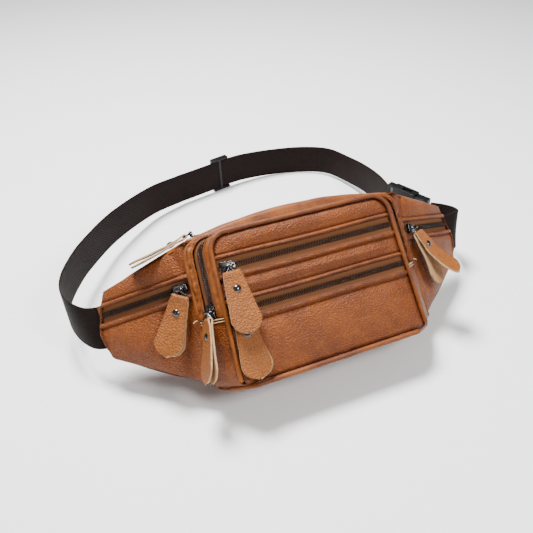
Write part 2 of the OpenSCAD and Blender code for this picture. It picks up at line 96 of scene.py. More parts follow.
# Sizes of a panel stitch, a back stitch, a tape stitch and a zip tooth, in millimetres
STITCH, BACK_STITCH, TAPE_STITCH = (2.0, 0.7, 0.6), (2.6, 0.55, 0.5), (1.15, 0.5, 0.4)
TOOTH, TOOTH_OUT, TOOTH_LIFT = (3.0, 0.62, 1.6), 1.25, 0.72
STITCH_LIFT, STITCH_LEAN = 0.12, 0.12
PAD_SEAM = 9.5
WING_WRAP = 0.93

# The camera: its direction in degrees, its distance in metres, and its lens and sensor in millimetres
VIEW_AZIMUTH, VIEW_ELEVATION, VIEW_DISTANCE = -24.11, 39.04, 0.54
VIEW_AIM = (0, -36, 67.5)
LENS, SENSOR, SHIFT = 40.47, 36, (-0.0783, 0.0274)

CROWN_R = (SEAM_TOP ** 2 + CROWN ** 2) / (2 * CROWN)
CROWN_ZC = BODY_H + CROWN - CROWN_R
FRONT_TILT = math.atan((DEPTH_BASE - DEPTH_TOP) / BODY_H)


# ---- numbers and frames ----
def mix(a, b, t):
    return a + (b - a) * t


def clamp(t):
    return max(0.0, min(1.0, t))


def smooth(t):
    t = clamp(t)
    return t * t * (3 - 2 * t)


def arch(t, power=1.0):
    return max(0.0, math.sin(math.pi * clamp(t))) ** power


def pack_point(x, y, z):
    """A point of the pack's upright frame, in mm, as a point of the scene."""
    c, s = math.cos(LEAN), math.sin(LEAN)
    return Vector((x, y * c + z * s - ORIGIN_Y, -y * s + z * c)) * MM


def pack_dir(x, y, z):
    return (pack_point(x, y, z) - pack_point(0, 0, 0)).normalized()


UP, DOWN = pack_dir(0, 0, 1), pack_dir(0, 0, -1)
REAR, FORE = pack_dir(0, 1, 0), pack_dir(0, -1, 0)


def wing_out(side):
    return pack_dir(side * WING_RUN_Y, -WING_RUN_X, 0)


def ground_point(x, y, z):
    return Vector((x, y - ORIGIN_Y, z)) * MM


def axes_at(origin, along, out):
    """A matrix in mm with X along and Z out, at a scene point."""
    z = out.normalized()
    x = (along - z * along.dot(z)).normalized()
    y = z.cross(x)
    m = Matrix((x, y, z)).transposed().to_4x4()
    m.translation = origin
    return m @ Matrix.Scale(MM, 4)


def wobble(p, size, amount, seed=0.0):
    """Smooth noise at a scene point: features of about size mm, up to amount mm."""
    q = p / (size * MM) + Vector((seed, seed * 1.7, -seed))
    return noise.noise(q) * amount


# ---- outlines of the pack ----
def back_y(x):
    u = max(0.0, abs(x) - FLAT_HALF) / (WING_X - FLAT_HALF)
    return TIP_BACK_Y * u ** 1.6


def front_y(x):
    if abs(x) <= SEAM_TOP:
        return -BODY_D
    return mix(-BODY_D, TIP_FRONT_Y, (abs(x) - SEAM_TOP) / WING_RUN_X)


def crown_z(x):
    return CROWN_ZC + math.sqrt(CROWN_R ** 2 - x * x)


def top_z(x):
    a = abs(x)
    if a <= SEAM_TOP:
        return crown_z(a)
    return mix(BODY_H, TIP_TOP_Z, (a - SEAM_TOP) / (WING_X - 12 - SEAM_TOP))


def low_z(x):
    a = abs(x)
    return 0.0 if a <= SEAM_BASE - 6 else mix(0, TIP_LOW_Z, (a - SEAM_BASE + 6) / (WING_X - SEAM_BASE))


def tip_x(z):
    if z < TIP_MID_Z:
        return mix(WING_X - 6, WING_X, (z - TIP_LOW_Z) / (TIP_MID_Z - TIP_LOW_Z))
    return mix(WING_X, WING_X - 12, (z - TIP_MID_Z) / (TIP_TOP_Z - TIP_MID_Z))


def front_depth(z):
    return mix(DEPTH_BASE, DEPTH_TOP, z / BODY_H)


def depth(s, z):
    return mix(BODY_D, front_depth(z), s)


def half_w(s, z):
    return mix(mix(SEAM_BASE, SEAM_TOP, z / BODY_H), mix(FRONT_BASE, FRONT_TOP, z / BODY_H), s)


def wing_zip_z(x):
    return mix(WING_ZIP_Z[0], WING_ZIP_Z[1], (abs(x) - SEAM_TOP) / WING_RUN_X)


# ---- meshes ----
def finish_mesh(name, bm, materials, body=BODY, angle=52):
    """Links a shaped mesh as one piece that rides on a body."""
    mesh = bpy.data.meshes.new(name)
    bm.to_mesh(mesh)
    bm.free()
    return dress(name, mesh, materials, body, angle)


def dress(name, mesh, materials, body=BODY, angle=52):
    obj = bpy.data.objects.new(name, mesh)
    bpy.context.scene.collection.objects.link(obj)
    for m in materials:
        mesh.materials.append(bpy.data.materials[m])
    mesh.polygons.foreach_set("use_smooth", [True] * len(mesh.polygons))
    if angle:
        mesh.set_sharp_from_angle(angle=math.radians(angle))
    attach(obj, body)
    return obj


def lay_grid(bm, place, nu, nv, out=None, seam=7.0):
    """Adds a grid laid on place(u, v), with u and v from 0 to 1 and UVs in metres.

    The seam attribute runs from 0 at its edges to 1 at seam mm from them."""
    uv = bm.loops.layers.uv.verify()
    near = bm.verts.layers.float.get("seam") or bm.verts.layers.float.new("seam")
    made = bmesh.ops.create_grid(bm, x_segments=nu, y_segments=nv, size=0.5)["verts"]
    wide = sum((place((i + 1) / 24, 0.5) - place(i / 24, 0.5)).length for i in range(24))
    high = sum((place(0.5, (i + 1) / 24) - place(0.5, i / 24)).length for i in range(24))
    faces = list({f for v in made for f in v.link_faces})
    for f in faces:
        for loop in f.loops:
            loop[uv].uv = ((loop.vert.co.x + 0.5) * wide, (loop.vert.co.y + 0.5) * high)
    for v in made:
        a, b = v.co.x + 0.5, v.co.y + 0.5
        edge = min(min(a, 1 - a) * wide, min(b, 1 - b) * high) / MM
        v[near] = clamp(edge / seam)
        v.co = place(a, b)
    for f in faces:
        f.normal_update()
    if out is not None:
        mid = min(faces, key=lambda f: (f.calc_center_median() - place(0.5, 0.5)).length_squared)
        if mid.normal.dot(out) < 0:
            bmesh.ops.reverse_faces(bm, faces=faces)


def give_wall(obj, thick, edge=0.5, inner=0, rim=0):
    """A wall behind the laid face, with rounded edges."""
    wall = obj.modifiers.new("Wall", "SOLIDIFY")
    wall.thickness = thick * MM
    wall.offset = -1
    wall.material_offset = inner
    wall.material_offset_rim = rim
    if edge:
        cut = obj.modifiers.new("Edge", "BEVEL")
        cut.width = edge * MM
        cut.segments = 2
        cut.limit_method = "ANGLE"
        cut.angle_limit = math.radians(62)
        cut.harden_normals = False
    return obj


def panel(name, grids, materials, out, thick, edge, inner=0, seam=7.0):
    """A sewn panel of the body from laid grids, each (place, nu, nv)."""
    bm = bmesh.new()
    for place, nu, nv in grids:
        lay_grid(bm, place, nu, nv, out, seam)
    return give_wall(finish_mesh(name, bm, materials), thick, edge, inner)


def path_frames(path, ups):
    last = len(path) - 1
    frames = []
    for i in range(len(path)):
        t = (path[min(i + 1, last)] - path[max(i - 1, 0)]).normalized()
        up = ups[i] if isinstance(ups, list) else ups
        side = t.cross(up).normalized()
        frames.append((t, side, side.cross(t).normalized()))
    return frames


def draw_tube(bm, path, radius, ups, sides=12):
    """A round cord: a circle extruded along a list of points. radius is in mm, or a function of 0 to 1."""
    n = len(path)
    mats = []
    for i, (t, side, up) in enumerate(path_frames(path, ups)):
        r = (radius(i / max(n - 1, 1)) if callable(radius) else radius) * MM
        m = Matrix((side * r, up * r, -t * r)).transposed().to_4x4()
        m.translation = path[i]
        mats.append(m)
    first = bmesh.ops.create_circle(bm, cap_ends=False, segments=sides, radius=1.0)["verts"]
    edges = list({e for v in first for e in v.link_edges})
    bmesh.ops.transform(bm, matrix=mats[0], verts=first)
    ring, faces = edges, []
    for i in range(1, n):
        made = bmesh.ops.extrude_edge_only(bm, edges=ring)["geom"]
        verts = [g for g in made if isinstance(g, bmesh.types.BMVert)]
        ring = [g for g in made if isinstance(g, bmesh.types.BMEdge)]
        faces += [g for g in made if isinstance(g, bmesh.types.BMFace)]
        ring = [e for e in ring if all(v in set(verts) for v in e.verts)]
        bmesh.ops.transform(bm, matrix=mats[i] @ mats[i - 1].inverted(), verts=verts)
    faces += bmesh.ops.holes_fill(bm, edges=edges + ring, sides=sides)["faces"]
    bmesh.ops.recalc_face_normals(bm, faces=faces)


def add_block(bm, m, size, centre, bevel, segments=2, taper=None):
    """A rounded block of size mm about centre mm in the frame m. taper moves its corners first."""
    verts = bmesh.ops.create_cube(bm, size=1.0)["verts"]
    shape = Matrix.Translation(Vector(centre)) @ Matrix.Diagonal((*size, 1.0))
    bmesh.ops.transform(bm, matrix=shape, verts=verts)
    if taper:
        for v in verts:
            v.co = taper(v.co.copy())
    edges = list({e for v in verts for e in v.link_edges})
    done = bmesh.ops.bevel(bm, geom=edges, offset=bevel, segments=segments, affect="EDGES", profile=0.5,
                           material=-1)
    faces = {f for v in done["verts"] for f in v.link_faces}
    bmesh.ops.transform(bm, matrix=m, verts=list({v for f in faces for v in f.verts}))


def spin_shape(bm, m, profile, steps):
    """A turned shape: a profile of (radius, height) in mm spun about Z of the frame m."""
    verts = [bm.verts.new((r, 0, z)) for r, z in profile]
    edges = [bm.edges.new(pair) for pair in zip(verts, verts[1:])]
    bmesh.ops.spin(bm, geom=verts + edges, cent=(0, 0, 0), axis=(0, 0, 1), angle=2 * math.pi, steps=steps,
                   use_merge=True)
    seen, todo = set(verts), list(verts)
    while todo:
        for e in todo.pop().link_edges:
            for v in e.verts:
                if v not in seen:
                    seen.add(v)
                    todo.append(v)
    bmesh.ops.remove_doubles(bm, verts=list(seen), dist=0.01)
    seen = [v for v in seen if v.is_valid]
    faces = list({f for v in seen for f in v.link_faces})
    bmesh.ops.recalc_face_normals(bm, faces=faces)
    bmesh.ops.transform(bm, matrix=m, verts=seen)


def repeat(name, shape, places, material):
    """One small shape copied to many places as a single piece. shape is a bmesh in mm."""
    shape.verts.index_update()
    pts = np.array([[*v.co, 1.0] for v in shape.verts])
    faces = [[v.index for v in f.verts] for f in shape.faces]
    shape.free()
    verts = np.concatenate([pts @ np.array(m).T[:, :3] for m in places])
    count = len(pts)
    all_faces = [[i + k * count for i in f] for k in range(len(places)) for f in faces]
    mesh = bpy.data.meshes.new(name)
    mesh.from_pydata(verts.tolist(), [], all_faces)
    return dress(name, mesh, [material], angle=0)


def bead(size, u=8, v=6):
    """A small rounded bar of size mm, long along X."""
    bm = bmesh.new()
    bmesh.ops.create_uvsphere(bm, u_segments=u, v_segments=v, radius=1.0,
                              matrix=Matrix.Diagonal((size[0] / 2, size[1] / 2, size[2] / 2, 1.0))
                              @ Matrix.Rotation(math.pi / 2, 4, "Y"))
    return bm


def walk(path, outs, pitch):
    """Points every pitch mm along a path, each with its direction and its outward vector."""
    runs = [0.0]
    for a, b in zip(path, path[1:]):
        runs.append(runs[-1] + (b - a).length / MM)
    d, k, found = pitch / 2, 0, []
    while d < runs[-1]:
        while runs[k + 1] < d:
            k += 1
        f = (d - runs[k]) / max(runs[k + 1] - runs[k], 1e-9)
        up = outs[k].lerp(outs[k + 1], f) if isinstance(outs, list) else outs
        found.append((path[k].lerp(path[k + 1], f), (path[k + 1] - path[k]).normalized(), up.normalized()))
        d += pitch
    return found


def stitch_row(path, outs, pitch):
    """Places for the stitches of one sewn row: X along the row, Z out of the leather."""
    places = []
    for p, t, n in walk(path, outs, pitch):
        side = n.cross(t)
        places.append(axes_at(p + n * STITCH_LIFT * MM, t + side * STITCH_LEAN, n))
    return places


# ---- the pack's shapes ----
def line_at(points, t):
    """A point on a chain of (x, z) points, t from 0 to 1 along its length."""
    lens = [math.dist(a, b) for a, b in zip(points, points[1:])]
    d = clamp(t) * sum(lens)
    for (a, b), n in zip(zip(points, points[1:]), lens):
        if d <= n or b is points[-1]:
            f = d / n if n else 0
            return (mix(a[0], b[0], min(f, 1)), mix(a[1], b[1], min(f, 1)))
        d -= n
    return points[-1]


def rounded(points, rounds):
    """The chain with its corners cut to curves."""
    for _ in range(rounds):
        out = [points[0]]
        for a, b in zip(points, points[1:]):
            out += [(mix(a[0], b[0], cut), mix(a[1], b[1], cut)) for cut in (0.25, 0.75)]
        points = out + [points[-1]]
    return points


SPLIT_Z = TIP_MID_Z + 16
TOP_LINE = rounded([(-(WING_X - 5.2), SPLIT_Z), (-(WING_X - 12), TIP_TOP_Z)]
                   + [(x, crown_z(x)) for x in range(-100, 101, 10)]
                   + [(WING_X - 12, TIP_TOP_Z), (WING_X - 5.2, SPLIT_Z)], 2)
BASE_LINE = rounded([(-(WING_X - 5.3), SPLIT_Z - 0.3), (-WING_X, TIP_MID_Z), (-(WING_X - 6), TIP_LOW_Z),
                     (-(SEAM_BASE - 6), 0), (0, 0), (SEAM_BASE - 6, 0), (WING_X - 6, TIP_LOW_Z),
                     (WING_X, TIP_MID_Z), (WING_X - 5.3, SPLIT_Z - 0.3)], 3)


def rim_front(x):
    return front_y(x) + 1.4 if abs(x) < WING_X - 7 else front_y(WING_X - 7) + 1.4


def rim_back(x):
    return back_y(x) - 3.6


def top_profile(part):
    """The top edge of the body: its front strip rolls over the pouch seam, its rear one meets the back."""
    def place(u, v):
        x, z = line_at(TOP_LINE, u)
        a = abs(x)
        front, back = rim_front(x), max(rim_back(x), rim_front(x) + 1.2)
        half = mix(SLOT_W / 2, 0.1, smooth((a - MAIN_ZIP_HALF + 1) / 5))
        centre = mix(MAIN_ZIP_Y, (front + back) / 2, smooth((a - 88) / 14))
        over = smooth((108 - a) / 10)
        puff = 0.9 * smooth((165 - a) / 60)
        if part == "front":
            edge = centre - half
            r = mix(1.6, 4.6, over)
            low = mix(z - 2.2, BODY_H - 0.6, over)
            y0 = front - mix(0.2, 1.9, over)
            if v < 0.3:
                f = v / 0.3
                y, h = y0 - 0.7 * arch(f), mix(low, max(z - r, low + 0.2), f)
            elif v < 0.6:
                f = (v - 0.3) / 0.3 * math.pi / 2
                rz = z - max(z - r, low + 0.2)
                ry = min(r, max(edge - y0, 0.3))
                y, h = y0 + ry * (1 - math.cos(f)), z - rz * (1 - math.sin(f))
            else:
                f = (v - 0.6) / 0.4
                y = mix(min(y0 + min(r, max(edge - y0, 0.3)), edge), edge, f)
                h = z + puff * arch(f, 0.8) * 0.6 - 0.7 * smooth((f - 0.85) / 0.15)
        else:
            y = mix(centre + half, back, v)
            h = z + puff * arch(v, 0.7) - 0.7 * smooth((0.12 - v) / 0.12)
        p = pack_point(x, y, h)
        return p + UP * MM * wobble(p, 22, 0.7 * over, 3.0)
    return place


def base_profile(u, v):
    x, z = line_at(BASE_LINE, u)
    front, back = rim_front(x) - 0.6, max(rim_back(x), rim_front(x) + 1.2)
    y = mix(front, back, v)
    q = line_at(BASE_LINE, min(u + 0.004, 1))
    r = line_at(BASE_LINE, max(u - 0.004, 0))
    d = math.dist(q, r) or 1
    nx, nz = (q[1] - r[1]) / d, -(q[0] - r[0]) / d
    deep = back - front
    sag = min(1.3, deep * 0.05) * arch(v, 0.6)
    return pack_point(x + nx * sag, y, z + nz * sag * 0.6)


def wing_panel(side, upper):
    """A wing's front panel above or below its zip: puffed, with a folded lip at the zip."""
    def place(u, v):
        x0 = SEAM_TOP - 0.5
        wrap = clamp((u - WING_WRAP) / (1 - WING_WRAP))
        u = min(u / WING_WRAP, 1)
        z_guess = mix(90, TIP_TOP_Z, v) if upper else mix(TIP_LOW_Z, 77, v)
        far = tip_x(z_guess) - 0.6
        x = mix(x0, far, u)
        zip_z = wing_zip_z(x)
        if upper:
            z = mix(zip_z + SLOT_W / 2 * (1 - 0.96 * wrap), top_z(min(x, WING_X - 12.5)) - 0.6, v)
            d = v * (top_z(x) - zip_z - SLOT_W / 2)
        else:
            low = low_z(x) if x < WING_X - 6 else TIP_LOW_Z
            z = mix(low + 0.4, zip_z - SLOT_W / 2 * (1 - 0.96 * wrap), v)
            d = (1 - v) * (zip_z - SLOT_W / 2 - low)
        x = min(x, tip_x(z) - 0.4)
        n = Vector((side * WING_RUN_Y, -WING_RUN_X, 0)).normalized()
        lip = 1.9 * math.sqrt(max(0.0, 1 - ((d - 1.9) / 1.9) ** 2)) if d < 3.8 else 0
        lip -= 0.9 * math.exp(-((d - 4.5) / 0.9) ** 2)
        round_off = arch(v, 0.7)
        puff = (3.0 if upper else 4.8) * arch(u, 0.75) * round_off
        lump = 0.0
        if not upper:
            fold = (u - 0.10) - 0.16 * (1 - v)
            lump -= 2.9 * math.exp(-(fold / 0.05) ** 2) * smooth(v * 1.6) * smooth((1 - v) * 6)
            fold = (u - 0.27) - 0.2 * (1 - v)
            lump -= 2.1 * math.exp(-(fold / 0.06) ** 2) * smooth((v - 0.25) * 2) * smooth((1 - v) * 6)
        else:
            fold = (u - 0.16) + 0.10 * (1 - v)
            lump -= 1.8 * math.exp(-(fold / 0.05) ** 2) * smooth(v * 4)
        seat = 1.2 * smooth((0.04 - v) / 0.04 if not upper else (v - 0.92) / 0.08)
        off = max(lip, 0) + min(lip, 0) + puff + lump - seat
        off *= 1 - wrap
        round_tip = 2.2 * (1 - math.sqrt(max(0.0, 1 - wrap * wrap)))
        base = Vector((side * (x - round_tip), mix(front_y(x), back_y(x) - 1.5, wrap), z))
        p = base + n * off
        w = pack_point(*p)
        k = wobble(w, 17, 0.9, 7.0 + side) * arch(u, 0.4) * arch(v, 0.4)
        return pack_point(*(p + n * k))
    return place


def front_point(x, h, n):
    """A point of the front panel's plane: across, up the panel and out of it, in mm."""
    c, s = math.cos(FRONT_TILT), math.sin(FRONT_TILT)
    return pack_point(x, -DEPTH_BASE + h * s - n * c, h * c + n * s)


def front_half(h, inset):
    w = mix(FRONT_BASE, FRONT_TOP, h / BODY_H) - inset
    r, top = CORNER_R - inset, BODY_H - inset
    if h > top - r:
        w -= r - math.sqrt(max(r * r - (h - top + r) ** 2, 0.0))
    r, low = BASE_R, 1.0
    if h < low + r:
        w -= r - math.sqrt(max(r * r - (low + r - h) ** 2, 0.0))
    return w


def front_strip(h0, h1, puff, lip_low, lip_high, seed):
    """A strip of the front panel between two heights, with folded lips at the zips."""
    def place(u, v):
        h = mix(h0, h1, v)
        w = front_half(h, 1.6)
        x = mix(-w, w, u)
        d = min(v if lip_low else 9, (1 - v) if lip_high else 9) * (h1 - h0)
        fat = 2.1 if lip_high and v > 0.5 else 1.8
        lip = fat * 0.95 * math.sqrt(max(0.0, 1 - ((d - fat) / fat) ** 2)) if d < 2 * fat else 0.0
        groove = -1.15 * math.exp(-((d - 2 * fat - 0.7) / 0.8) ** 2)
        side = min(u, 1 - u) * 2 * w
        body = arch(v, 0.6) * smooth(side / 26) * puff * mix(0.25, 1, smooth((d - 1.5 * fat) / 12))
        edge = -1.3 * smooth((4 - side) / 4)
        if not lip_high:
            edge -= 1.3 * smooth((3.5 - (1 - v) * (h1 - h0)) / 3.5)
        if not lip_low:
            edge -= 1.0 * smooth((3.5 - v * (h1 - h0)) / 3.5)
        p = front_point(x, h, 0)
        k = wobble(p, 26, 0.55, seed) * arch(v, 0.5) * smooth(side / 10) + wobble(p, 9, 0.22, seed + 5)
        sag = 0.5 * math.sin(u * math.pi * 2.3 + seed) * (lip_low or lip_high) * smooth((10 - d) / 10)
        return front_point(x, h + sag, lip * 0.95 + groove + body + edge + k)
    return place


def ring_line(upper, z_end, s):
    """Points (x, y, z) of the pouch wall's run at ring position s, each with its outward normal."""
    w_top, w_low = half_w(s, BODY_H), half_w(s, 0)
    pts = []
    if upper:
        r = CORNER_R
        pts.append((-half_w(s, z_end), z_end))
        pts += [(mix(-half_w(s, z_end), -w_top, k / 10), mix(z_end, BODY_H - r, k / 10))
                for k in range(1, 10)]
        pts += [(-w_top + r - r * math.cos(a), BODY_H - r + r * math.sin(a))
                for a in [math.pi / 2 * k / 12 for k in range(13)]]
        pts += [(mix(-w_top + r, w_top - r, k / 24), BODY_H) for k in range(1, 24)]
        pts += [(-x, z) for x, z in reversed(pts[:23])]
    else:
        r = BASE_R
        half = [(-half_w(s, z_end), z_end)]
        half += [(mix(-half_w(s, z_end), -w_low, k / 10), mix(z_end, 1 + r, k / 10)) for k in range(1, 10)]
        half += [(-w_low + r - r * math.cos(a), 1 + r - r * math.sin(a))
                 for a in [math.pi / 2 * k / 8 for k in range(9)]]
        pts = half + [(mix(-w_low + r, w_low - r, k / 24), 1) for k in range(1, 24)]
        pts += [(-x, z) for x, z in reversed(half)]
    return [(x, -depth(s, z), z) for x, z in pts]


class Wall:
    """The pouch's side wall: at(u, s, n) is a point u along its run, at ring position s, n mm out."""

    def __init__(self, upper, z_end):
        self.a, self.b = ring_line(upper, z_end, 0), ring_line(upper, z_end, 1)
        lens = [math.dist(p, q) for p, q in zip(self.a, self.a[1:])]
        total = sum(lens)
        self.t = [0.0]
        for n in lens:
            self.t.append(self.t[-1] + n / total)

    def raw(self, u, s):
        u = clamp(u)
        k = 0
        while k < len(self.t) - 2 and self.t[k + 1] < u:
            k += 1
        f = (u - self.t[k]) / (self.t[k + 1] - self.t[k])
        a = Vector(self.a[k]).lerp(Vector(self.a[k + 1]), f)
        b = Vector(self.b[k]).lerp(Vector(self.b[k + 1]), f)
        return a.lerp(b, s)

    def normal(self, u):
        t = self.raw(min(u + 0.012, 1), 0.5) - self.raw(max(u - 0.012, 0), 0.5)
        n = (self.raw(u, 1) - self.raw(u, 0)).cross(t).normalized()
        mid = self.raw(u, 0.5)
        away = Vector((mid.x, -20, mid.z - 40))
        return n if n.dot(away) > 0 else -n

    def at(self, u, s, n=0.0):
        return pack_point(*(self.raw(u, s) + self.normal(u) * n))


# ---- zips ----
def wing_dir():
    return Vector((WING_RUN_X, WING_RUN_Y, 0)).normalized()


def wing_zip_point(side, u):
    d = wing_dir()
    x = SEAM_TOP + d.x * u
    return pack_point(side * (x - d.y * TAPE_DROP), -BODY_D + d.y * u + d.x * TAPE_DROP, wing_zip_z(x))


def leg_point(s, t):
    """On the straight left leg of the pouch wall: ring position s, t from its foot to its bend."""
    lo, hi = GUSSET_END + 2, BODY_H - CORNER_R
    a = Vector((-half_w(s, lo), -depth(s, lo), lo))
    b = Vector((-half_w(s, BODY_H), -depth(s, hi), hi))
    return a.lerp(b, t)


def zip_out(name):
    """Which way a zip's slider faces."""
    d = wing_dir()
    if name == "main":
        a = math.asin(-88 / CROWN_R)
        return pack_dir(math.sin(a), 0, math.cos(a))
    if name == "left_wing":
        return pack_dir(-d.y, -d.x, 0)
    if name == "right_wing":
        return pack_dir(d.y, -d.x, 0)
    if name == "gusset":
        across = leg_point(1, 0) - leg_point(0, 0) + leg_point(1, 1) - leg_point(0, 1)
        return pack_dir(*across.cross(leg_point(ZIP_RING, 1) - leg_point(ZIP_RING, 0)))
    return pack_dir(0, -math.cos(FRONT_TILT), math.sin(FRONT_TILT))


def zip_path(name):
    """The centre line of a zip on the face of its tape, with its outward vectors."""
    if name in ("upper_front", "lower_front"):
        h = (ZIP_UPPER if name == "upper_front" else ZIP_LOWER)
        reach = FRONT_ZIP_X + 4.5
        pts = [front_point(mix(-reach, reach, k / 40), h, -TAPE_DROP) for k in range(41)]
        return pts, [zip_out(name)] * 41
    if name in ("left_wing", "right_wing"):
        side = -1 if name == "left_wing" else 1
        long = math.hypot(WING_RUN_X, WING_RUN_Y)
        pts = [wing_zip_point(side, mix(1, long - 0.5, k / 30)) for k in range(31)]
        if side < 0:
            pts.reverse()
        return pts, [zip_out(name)] * 31
    if name == "main":
        r, half = CROWN_R - TAPE_DROP, math.asin(MAIN_ZIP_HALF / CROWN_R)
        angles = [mix(-half, half, k / 60) for k in range(61)]
        return ([pack_point(r * math.sin(a), MAIN_ZIP_Y, CROWN_ZC + r * math.cos(a)) for a in angles],
                [pack_dir(math.sin(a), 0, math.cos(a)) for a in angles])
    wall = Wall(True, GUSSET_END + 2)
    us = [k / 120 for k in range(121)]
    return [wall.at(u, ZIP_RING, -TAPE_DROP) for u in us], [pack_dir(*wall.normal(u)) for u in us]


def zip_frame(name):
    """The slider's frame in mm: X along the zip, Z out of it, and the frame of its pull bar."""
    j = JOINTS[name + "_pull_swing"]
    n, bar = zip_out(name), -Vector(j["axis"])
    origin = Vector(j["pos_m"]) - n * BAR_H * MM
    along = n.cross(bar) if name in ("main", "gusset") else bar
    return axes_at(origin, along, n), axes_at(origin, bar, n)


# How each pull hangs, in degrees: tilt about its bar, then yaw and roll of its leather
PULL_REST = {
    "main": (-6, 0, 0), "left_wing": (3, -32, 0), "gusset": (14.5, 0, -30),
    "upper_front": (7, 0, 0), "lower_front": (0, 0, 0), "right_wing": (18, 13, 0),
}


def hang_frame(name):
    tilt = PULL_REST[name][0]
    lift = Matrix.Translation((0, 0, BAR_H))
    return zip_frame(name)[1] @ lift @ Matrix.Rotation(math.radians(-tilt), 4, "X")


def pull_frame(name):
    _, yaw, roll = PULL_REST[name]
    turn = Matrix.Rotation(math.radians(yaw), 4, "Z") @ Matrix.Rotation(math.radians(roll), 4, "Y")
    return hang_frame(name) @ Matrix.Translation((0, -PULL_TOP, 0)) @ turn


# How the two layers of each pull lie: spread at the tip of the front and back layer in mm,
# sideways drift of each tip in mm, curl of the front layer's edges in mm
PULL_LIE = {
    "main": (3.6, -1.6, 0.6, -0.8, 0.5), "left_wing": (2.8, -1.1, -0.8, 1.8, 0.8),
    "gusset": (3.2, 1.0, 0.0, 0.8, 0.4), "upper_front": (0.9, 0.5, 0.4, 0.8, 0.7),
    "lower_front": (1.0, -0.9, -0.4, 2.6, 0.5), "right_wing": (10.5, 5.0, 0.5, -3.5, 2.6),
}


def pull_layer(name, y, front):
    """Centre offset (x, z) in mm of a layer's outer face at a height y on a pull."""
    spread_f, spread_b, drift_f, drift_b, _ = PULL_LIE[name]
    t = clamp((RIVET_Y - 3 - y) / (PULL_L + RIVET_Y - 3))
    neck = 0.6 * smooth((y + 7.5) / 6)
    spread, drift = (spread_f, drift_f) if front else (spread_b, drift_b)
    open_at_rivet = 1.6 if name == "right_wing" else 0.0
    z = 1.62 + neck + spread * t ** 1.5 + open_at_rivet * smooth(-y / 14)
    return drift * t ** 1.6, z if front else -z


def pull_half(y):
    """Half width of a pull at y."""
    tip = -(PULL_L - PULL_R)
    if y < tip:
        return math.sqrt(max(PULL_R ** 2 - (y - tip) ** 2, 0.0))
    w = mix(PULL_R, FOLD_R + 0.1, clamp((y - tip) / (-FOLD_R - tip)))
    return w - 1.6 * smooth((y + 7) / 7)


def pull_sheet(name):
    """One strip of leather folded over the bail: front layer, fold, back layer."""
    m, seed = pull_frame(name), 3.1 * ZIPS.index(name)
    curl = PULL_LIE[name][4]

    def layer(f, u, front):
        if f < 0.34:
            a = math.radians(86) * (1 - f / 0.34)
            y = -(PULL_L - PULL_R) - PULL_R * math.sin(a)
            w = PULL_R * math.cos(a)
        else:
            y = mix(-(PULL_L - PULL_R), -1.3, (f - 0.34) / 0.66)
            w = pull_half(y)
        x0, z = pull_layer(name, y, front)
        q = (u - 0.5) * 2
        t = clamp((RIVET_Y - y) / (PULL_L + RIVET_Y))
        wave = noise.noise(Vector((q * 1.1 + seed, y * 0.06, seed + (0 if front else 4)))) * t
        wave *= 1.3 if front else 0.4
        ragged = noise.noise(Vector((y * 0.35, seed, q * 0.8))) * 0.2 * abs(q) ** 3
        q = q * w / PULL_R
        lift = (curl * q * q * t - 0.5 * t * (1 - q * q)) * (1 if front else -0.4)
        lift += max(wave, -0.3) * (1 if front else -1)
        return Vector((x0 + q * PULL_R * (1 + ragged / PULL_R), y, z + lift))

    def place(u, v):
        if v < 0.45:
            p = layer(v / 0.45, u, True)
        elif v > 0.55:
            p = layer((1 - v) / 0.45, u, False)
        else:
            a = math.pi * (v - 0.45) / 0.1
            top, low = layer(1, u, True), layer(1, u, False)
            mid, half = (top + low) / 2, (top.z - low.z) / 2
            p = Vector((mid.x, mid.y + half * math.sin(a), mid.z + half * math.cos(a)))
        return m @ p
    return place


# ---- belt ----
BELT_LONG = [
    (-178, 53, 52), (-192, 59, 51), (-203, 76, 50), (-208, 98, 49), (-206, 122, 48),
    (-196, 152, 45), (-178, 188, 41), (-141, 242, 34), (-91, 290, 27), (-50, 311, 23.5),
    (-35, 316, 23), (-5, 324.2, 23), (25, 332.4, 23), (50, 337, 22), (88, 338.5, 19.6),
    (129, 330, 19.1), (160, 305, 22), (174, 267, 24), (178.5, 228, 29), (176.5, 190, 34.5),
    (171, 157, 38),
]
BELT_SHORT = [
    (178, 53, 52), (191.5, 57, 50.5), (202, 67, 47.5), (206.5, 80, 43.5), (203.5, 94, 40),
    (194, 106.5, 38),
]
# Where the doubled layer starts, counted in points of the long route
LOOP_AT = 11.68


def spline(p, t):
    n = len(p)
    i = min(int(t), n - 2)
    f = t - i
    a, b, c, e = (Vector(p[k]) for k in (max(i - 1, 0), i, i + 1, min(i + 2, n - 1)))
    bend, twist = 2 * a - 5 * b + 4 * c - e, 3 * b - a - 3 * c + e
    return 0.5 * (2 * b + (c - a) * f + bend * f * f + twist * f ** 3)


def strap(points, t0, t1, width, face, turn):
    """Webbing along a route: face is how far its outer face stands off the centre line, in mm."""
    last = len(points) - 1
    leant = Vector((0, math.sin(LEAN), math.cos(LEAN)))

    def place(u, v):
        t = mix(t0, t1, u)
        c = spline(points, t)
        g = (spline(points, min(t + 0.02, last)) - spline(points, max(t - 0.02, 0))).normalized()
        a = leant.lerp(Vector((0, 0, 1)), smooth(t / turn)).normalized()
        n = g.cross(a).normalized()
        return ground_point(*(c + a * (v - 0.5) * width + n * face))

    mid = (t0 + t1) / 2
    run = spline(points, mid + 0.02) - spline(points, mid - 0.02)
    return place, run.cross(Vector((0, 0, 1)))


# ---- finishes ----
def put(tree, kind, inputs=None, **props):
    node = tree.nodes.new(kind)
    for k, v in props.items():
        setattr(node, k, v)
    for k, v in (inputs or {}).items():
        sock = node.inputs[k]
        if isinstance(v, bpy.types.NodeSocket):
            tree.links.new(v, sock)
        else:
            sock.default_value = v
    return node


